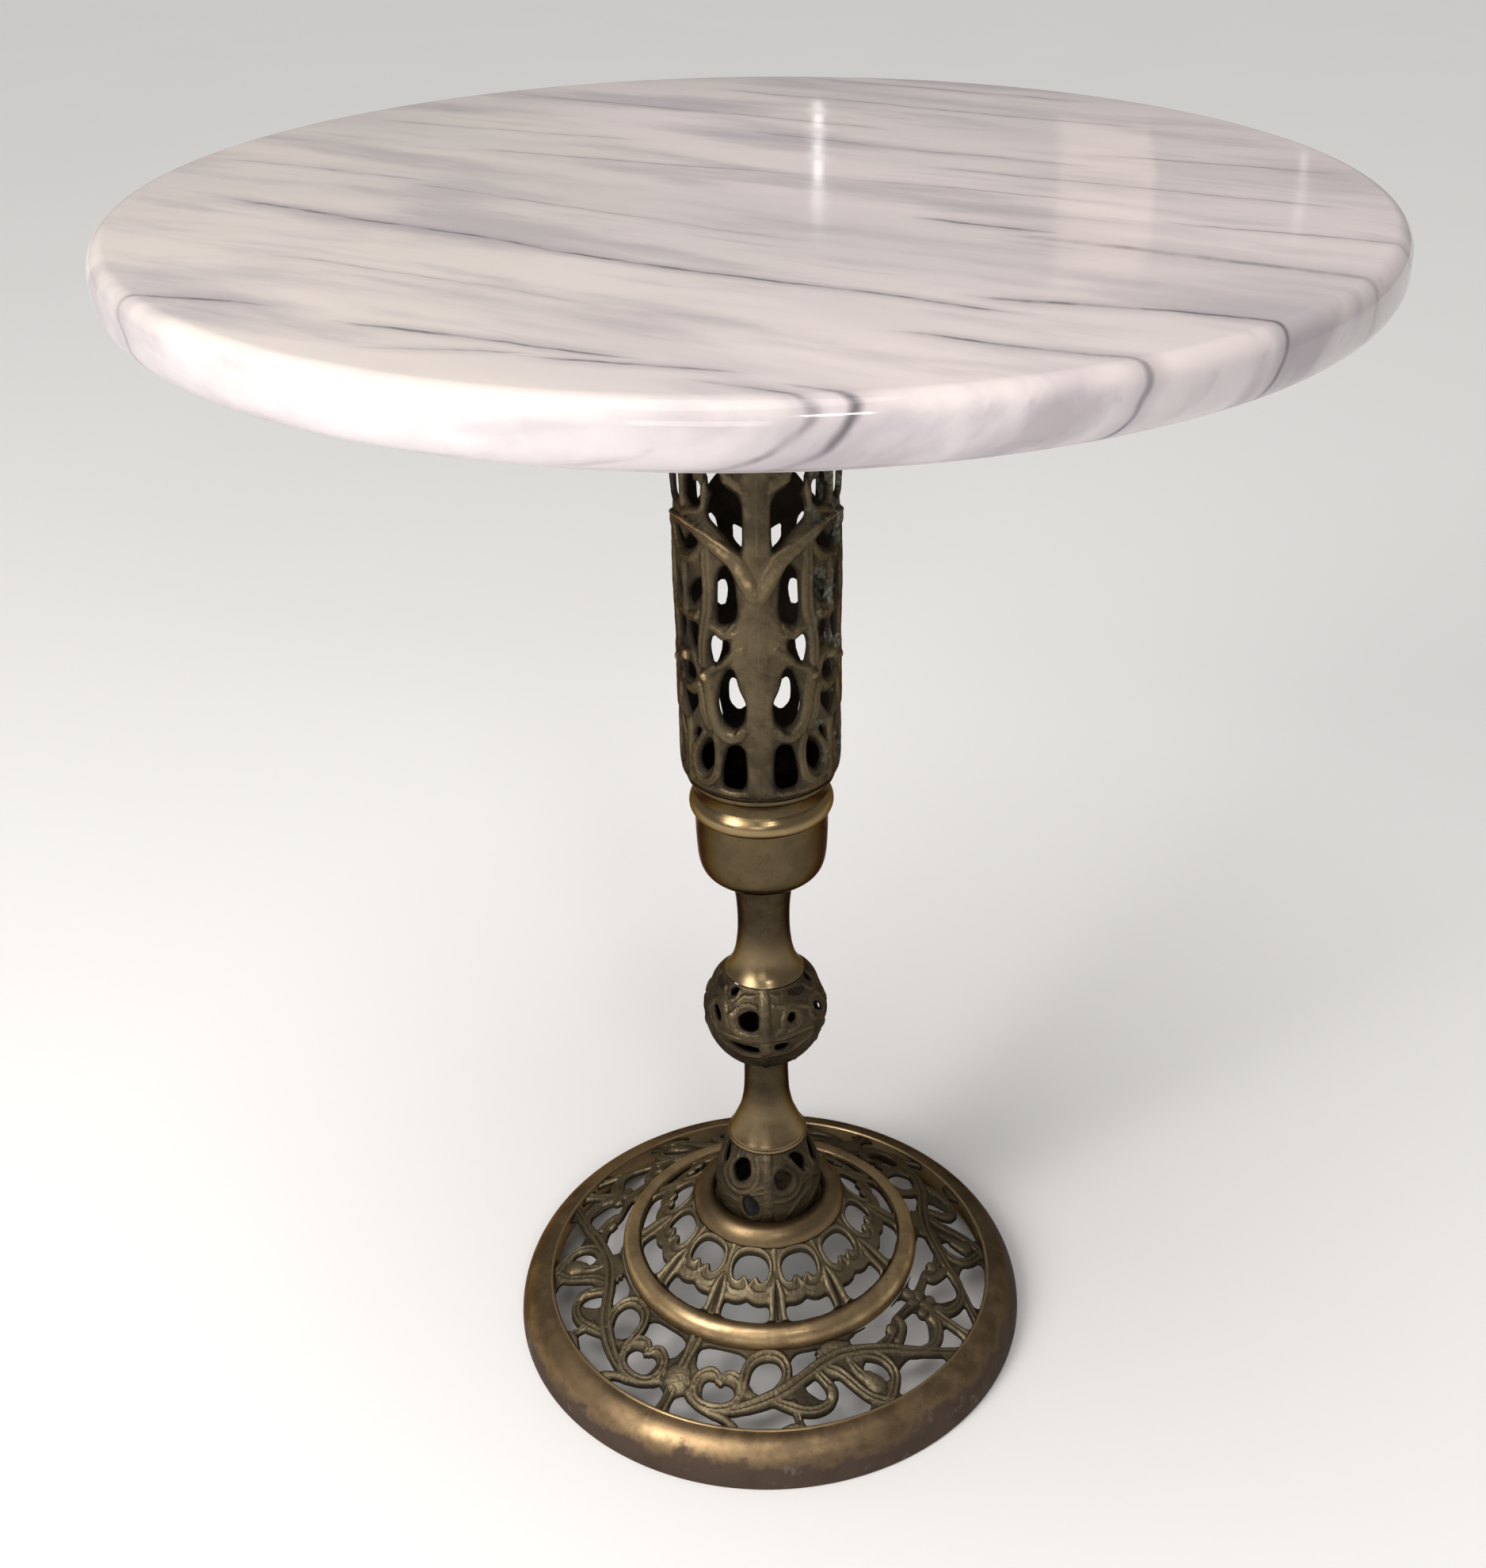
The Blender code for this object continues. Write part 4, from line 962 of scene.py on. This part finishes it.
# Azimuth and latitude in one of the ball's three panels.
BALL_UPPER_HOLES = [
    (22, 21, 26, 16, 32, 18, 32.5, 25, 26, 26),
    (56, 20, 66, 10, 73, 11, 70, 19, 61, 24),
    (70.5, 44, 75, 39, 82, 41, 82.5, 48, 74, 48),
    (90.5, 23, 96, 11, 108, 9.6, 114, 14, 113.4, 28, 104, 31),
]
BALL_LOWER_HOLES = [
    (8, -4.6, 17, -3, 24, -6, 19, -13, 9, -12),
    (80, -6.4, 100, -5.6, 114, -7.6, 114, -16.6, 98, -15.6),
]
BALL_STROKES = [
    (0.55, 0, 6, 49.5, 1.3, 40, 50.6, 1.3, 80, 50.6, 1.3, 114, 49.5, 1.3),
    (0.6, 0.16, 114, 5.6, 1.4, 104, 4.6, 1.9, 93, 6.6, 2.2, 86.6, 14, 2.2, 86.6, 24, 2.1, 92, 31.6, 2,
     101, 35, 1.9, 110, 33.6, 1.6),
    (0.85, 0, 83, 21, 2.4, 84, 22, 2.3),
    (0.65, 0, 112, 46, 1.3, 103, 43, 1.6, 94, 42, 1.7, 87.6, 36, 1.8, 85, 33, 1.4),
    (0.55, 0, 86, 46, 1.2, 83.6, 38, 1.5, 76, 34, 1.7, 66, 36, 1.6, 60, 44, 1.4),
    (0.55, 0.14, 82, 10, 1.5, 77.6, 20, 1.8, 72, 28, 1.8, 62, 30, 1.8, 54, 26, 1.7, 51, 17, 1.6, 56, 8, 1.6,
     66, 4, 1.5),
    (0.55, 0, 10, 35, 1.5, 20, 33, 1.7, 32, 33, 1.8, 44, 27.6, 1.8, 56, 21, 1.5),
    (0.6, 0.12, 12, 8, 1.5, 18, 12.6, 1.8, 19.6, 22, 1.9, 26, 29.6, 1.8, 35, 28, 1.8, 38, 20, 1.8,
     33, 12, 1.8, 24, 9, 1.6),
    (0.5, 0, 8, 46, 1.3, 18, 43, 1.5, 28, 45, 1.4),
    (-0.55, 0, 36, 44, 2.2, 46, 42, 2.8, 56, 41, 2),
    (0.6, 0.22, 58, 0.6, 1.2, 74, -0.6, 1.7, 92, -0.8, 1.8, 114, 0.4, 1.5),
    (0.5, 0, 6, 1.6, 1.2, 22, 3, 1.5, 38, 5, 1.5, 52, 1, 1.3),
    (0.5, 0, 6, -18, 1.2, 24, -17, 1.6, 34, -10, 1.6, 50, -6, 1.4),
    (0.55, 0, 114, -20, 1.3, 98, -20, 1.7, 84, -14, 1.7, 72, -10, 1.4),
    (0.4, 0, 60, -12, 1.4, 66, -24, 1.6, 80, -34, 1.5, 96, -44, 1.2),
    (0.4, 0, 20, -24, 1.4, 32, -34, 1.5, 44, -46, 1.2),
]
BALL_RIB = ((-76.0, 1.6), (-30.0, 3.0), (10.0, 3.4), (52.0, 3.0))
BALL_LINE = ((-76.0, 0.5), (52.0, 0.5))

# Azimuth and height in one of the bell's three panels, and its height and radius.
BELL_HOLES = [
    (8.4, 121, 12, 125.8, 20, 125.8, 30.4, 121, 24, 115.4, 14, 114.8),
    (33, 133.4, 46, 133, 57, 127.5, 52, 121.6, 44, 123.5),
    (70.4, 124.4, 80, 131.2, 91, 131.4, 97, 124, 88, 118.6, 80, 117.6),
    (91.4, 106, 98, 110, 107.4, 105, 108.6, 98, 99, 93.4, 92.6, 98),
]
BELL_STROKES = [
    (0.65, 0, 86, 134.4, 1, 97, 131.6, 1.3, 101.6, 125.4, 1.4, 98, 118.4, 1.4, 89, 114.6, 1.4, 78, 114.4, 1.4,
     69, 119, 1.4, 66, 126, 1.3, 72, 132, 1.2),
    (0.65, 0, 104, 133.4, 1, 108.4, 126.6, 1.3, 105.6, 118.6, 1.4, 97, 112.6, 1.5, 85, 109.8, 1.6,
     72, 110.6, 1.8, 61, 115, 1.7, 54, 121.6, 1.4),
    (0.65, 0, 115, 117, 1.1, 109, 116, 1.3, 101, 112.6, 1.5),
    (0.6, 0, 115, 113, 1.1, 108, 112.4, 1.3, 100, 111, 1.3),
    (0.6, 0, 88.4, 108, 1.2, 88.6, 98, 1.5, 93.6, 91.6, 1.5, 102, 90.4, 1.4, 110, 93, 1.2),
    (0.6, 0, 7, 129, 1, 16, 129, 1.3, 26, 127, 1.4, 34, 121, 1.4, 31, 114, 1.4, 22, 111.2, 1.4,
     12, 111.4, 1.3, 6, 113, 1),
    (0.6, 0, 7, 106.4, 1.1, 18, 105.8, 1.4, 30, 107.6, 1.5, 40, 113, 1.5, 46, 119, 1.3),
    (0.55, 0, 26, 134.4, 1, 38, 128.4, 1.2, 48, 119, 1.4, 58, 121, 1.2, 62, 128, 1.1, 56, 134, 1),
    (0.45, 0, 18, 90, 1.4, 30, 99, 1.6, 44, 106, 1.6, 58, 108, 1.3),
    (0.45, 0, 44, 90, 1.4, 56, 98, 1.6, 70, 103, 1.5, 84, 103, 1.2),
    (-0.45, 0, 30, 104, 1.2, 44, 110.4, 1.4, 54, 113, 1.1),
    (-0.45, 0, 60, 92, 1.2, 70, 97, 1.5, 80, 98, 1.2),
]
BELL_RIB = ((86.0, 3.4), (138.0, 2.8))
BELL_LINE = ((86.0, 0.6), (138.0, 0.5))
BELL_PROFILE = [(137, 22.6), (133.5, 24.8), (130, 26.7), (126, 28.6), (122, 30.2), (118, 31.4), (114, 32.3),
                (109, 33), (104, 33.4), (96, 33.2), (88.3, 32.6)]


def seam_ribs(fullness, rib, line):
    """A rib and the fine joint line on it, at both sides of a panel."""
    return [(full, 0.0, [(azimuth, v, half) for v, half in path])
            for full, path in ((fullness, rib), (0.60, line)) for azimuth in (0.0, PANEL_ARC)]


def swirled(name, node, holes, strokes, embed, vs, span, place, **settings):
    """A shell of the shaft, the same three times round."""
    repeated = [hole + (azimuth, 0.0) for hole in outlines(holes) for azimuth in (-PANEL_ARC, 0.0, PANEL_ARC)]
    casting(name, node, SHAFT_CAST, repeated, strokes, embed, vs, span, place, arc=PANEL_ARC, spacing=1.0,
            mirror=False, **settings)


def build_ball():
    """Two pierced half shells with a swirl of ridges."""
    def on_sphere(azimuth, latitude, radius):
        flat = radius * np.cos(np.radians(latitude))
        return around(azimuth, flat, BALL_CENTRE + radius * np.sin(np.radians(latitude)))

    def embed(points):
        return on_sphere(points[:, 0], points[:, 1], BALL_RADIUS)

    def place(u, v, lift):
        return on_sphere(u, v, BALL_RADIUS - 0.9 + lift)

    strokes = seam_ribs(0.30, BALL_RIB, BALL_LINE) + strokes_of(BALL_STROKES, 0.8)
    seam = math.degrees(0.15 / BALL_RADIUS)
    for name, node, holes, low, high in (("ball_top_shell", "ball_upper", BALL_UPPER_HOLES, seam, 50.0),
                                         ("ball_foot_shell", "ball_lower", BALL_LOWER_HOLES, -76.0, -seam)):
        vs = np.linspace(high + 1.0, low - 1.0, int(high - low + 2.0))
        swirled(name, node, holes, strokes, embed, vs, (low, high), place, wall=1.9)


def build_bell():
    """The pierced bell over the foot."""
    heights, radii = np.array(BELL_PROFILE)[::-1].T

    def embed(points):
        return around(points[:, 0], np.interp(points[:, 1], heights, radii), points[:, 1])

    def place(u, v, lift):
        return around(u, np.interp(v, heights, radii) - 0.8 + lift, v)

    strokes = seam_ribs(0.28, BELL_RIB, BELL_LINE) + strokes_of(BELL_STROKES, 0.6)
    swirled("bell_casting", "bell", BELL_HOLES, strokes, embed, np.linspace(137.6, 87.7, 76), (88.3, 137.0),
            place, wall=2.2, grow=0.9)


# ---------------------------------------------------------------- the hidden steel

def finish_nodes():
    """Give the CAD nodes that stay their finished materials."""
    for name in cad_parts:
        item = bpy.data.objects.get(name)
        if item is None or item.type != "MESH" or item.hide_render:
            continue
        material = RING_BRASS if name.startswith("marble_insert") else STEEL
        for slot in item.material_slots:
            slot.material = material


# ---------------------------------------------------------------- floor, lights, camera

FLOOR_HALF_WIDTH = 6.0
# Name, place, height of the aim, width, height, watts, colour. The last three only show in the polish.
LAMPS = [
    ("key", (-1.50, -1.45, 1.60), 0.30, 0.9, 1.6, 47.5, (1.0, 0.965, 0.93)),
    ("front", (-0.35, -2.5, 1.00), 0.45, 0.9, 0.6, 5.0, (1.0, 0.98, 0.96)),
    ("window", (0.50, -2.2, 1.75), 0.50, 0.42, 0.22, 8.0, (1.0, 0.99, 0.97)),
    ("streak", (0.156, 4.05, 1.53), 0.90, 0.022, 0.34, 0.035, (1.0, 0.98, 0.96)),
    ("strip", (1.43, 4.05, 1.60), 0.90, 0.020, 0.42, 0.012, (1.0, 0.93, 0.88)),
    ("doorway", (0.88, 4.05, 1.66), 0.90, 0.24, 0.60, 0.16, (1.0, 0.74, 0.66)),
]
CAMERA_PLACE = (0.003, -0.9486, 0.9297)
CAMERA_YAW, CAMERA_PITCH, CAMERA_ROLL = 0.47, 30.13, -0.69
CAMERA_LENS = 44.86
CAMERA_SHIFT = (-0.0240, 0.0065)


def add_object(name, data):
    """Link a new object to the scene."""
    item = bpy.data.objects.new(name, data)
    bpy.context.collection.objects.link(item)
    return item


def build_floor():
    """A pale matt floor."""
    bm = bmesh.new()
    bmesh.ops.create_grid(bm, x_segments=8, y_segments=8, size=FLOOR_HALF_WIDTH)
    mesh = bpy.data.meshes.new("floor")
    bm.to_mesh(mesh)
    bm.free()
    floor = add_object("floor", mesh)
    material, shader, coords = material_start("pale_floor")
    coords.noise(3.0, 2.0).blend((0.86, 0.855, 0.85), (0.88, 0.88, 0.875)).drive(shader, "Base Color")
    shader.inputs["Roughness"].default_value = 0.85
    shader.inputs["Specular IOR Level"].default_value = 0.15
    mesh.materials.append(material)


def build_lights():
    """A pale world, a broad sun, and the lamps."""
    world = bpy.data.worlds.new("studio")
    world.use_nodes = True
    back = world.node_tree.nodes["Background"]
    back.inputs["Color"].default_value = (1.0, 0.985, 0.97, 1.0)
    back.inputs["Strength"].default_value = 0.28
    bpy.context.scene.world = world
    bpy.context.scene.view_settings.view_transform = "Standard"

    data = bpy.data.lights.new("sky", "SUN")
    data.energy = 1.32
    data.angle = math.radians(50.0)
    data.color = (1.0, 0.98, 0.96)
    add_object("sky", data).rotation_euler = (math.radians(12.0), math.radians(-10.0), 0.0)

    for name, place, aim, wide, tall, power, colour in LAMPS:
        data = bpy.data.lights.new(name, "AREA")
        data.shape = "RECTANGLE"
        data.size = wide
        data.size_y = tall
        data.energy = power
        data.color = colour
        lamp = add_object(name, data)
        lamp.location = place
        lamp.rotation_euler = (Vector((0.0, 0.0, aim)) - Vector(place)).to_track_quat("-Z", "Y").to_euler()
        lamp.visible_camera = False


def build_camera():
    """The camera at the photographer's place."""
    data = bpy.data.cameras.new("camera")
    data.lens = CAMERA_LENS
    data.shift_x, data.shift_y = CAMERA_SHIFT
    camera = add_object("camera", data)
    yaw, pitch, roll = math.radians(CAMERA_YAW), math.radians(CAMERA_PITCH), math.radians(CAMERA_ROLL)
    ahead = Vector((math.sin(yaw) * math.cos(pitch), math.cos(yaw) * math.cos(pitch), -math.sin(pitch)))
    right = Vector((math.cos(yaw), -math.sin(yaw), 0.0))
    up = right.cross(ahead)
    right, up = right * math.cos(roll) + up * math.sin(roll), up * math.cos(roll) - right * math.sin(roll)
    camera.matrix_world = Matrix.Translation(CAMERA_PLACE) @ Matrix((right, up, -ahead)).transposed().to_4x4()
    bpy.context.scene.camera = camera


build_top()
build_turned()
build_scroll()
build_lattice()
build_column()
build_ball()
build_bell()
finish_nodes()
build_floor()
build_lights()
build_camera()
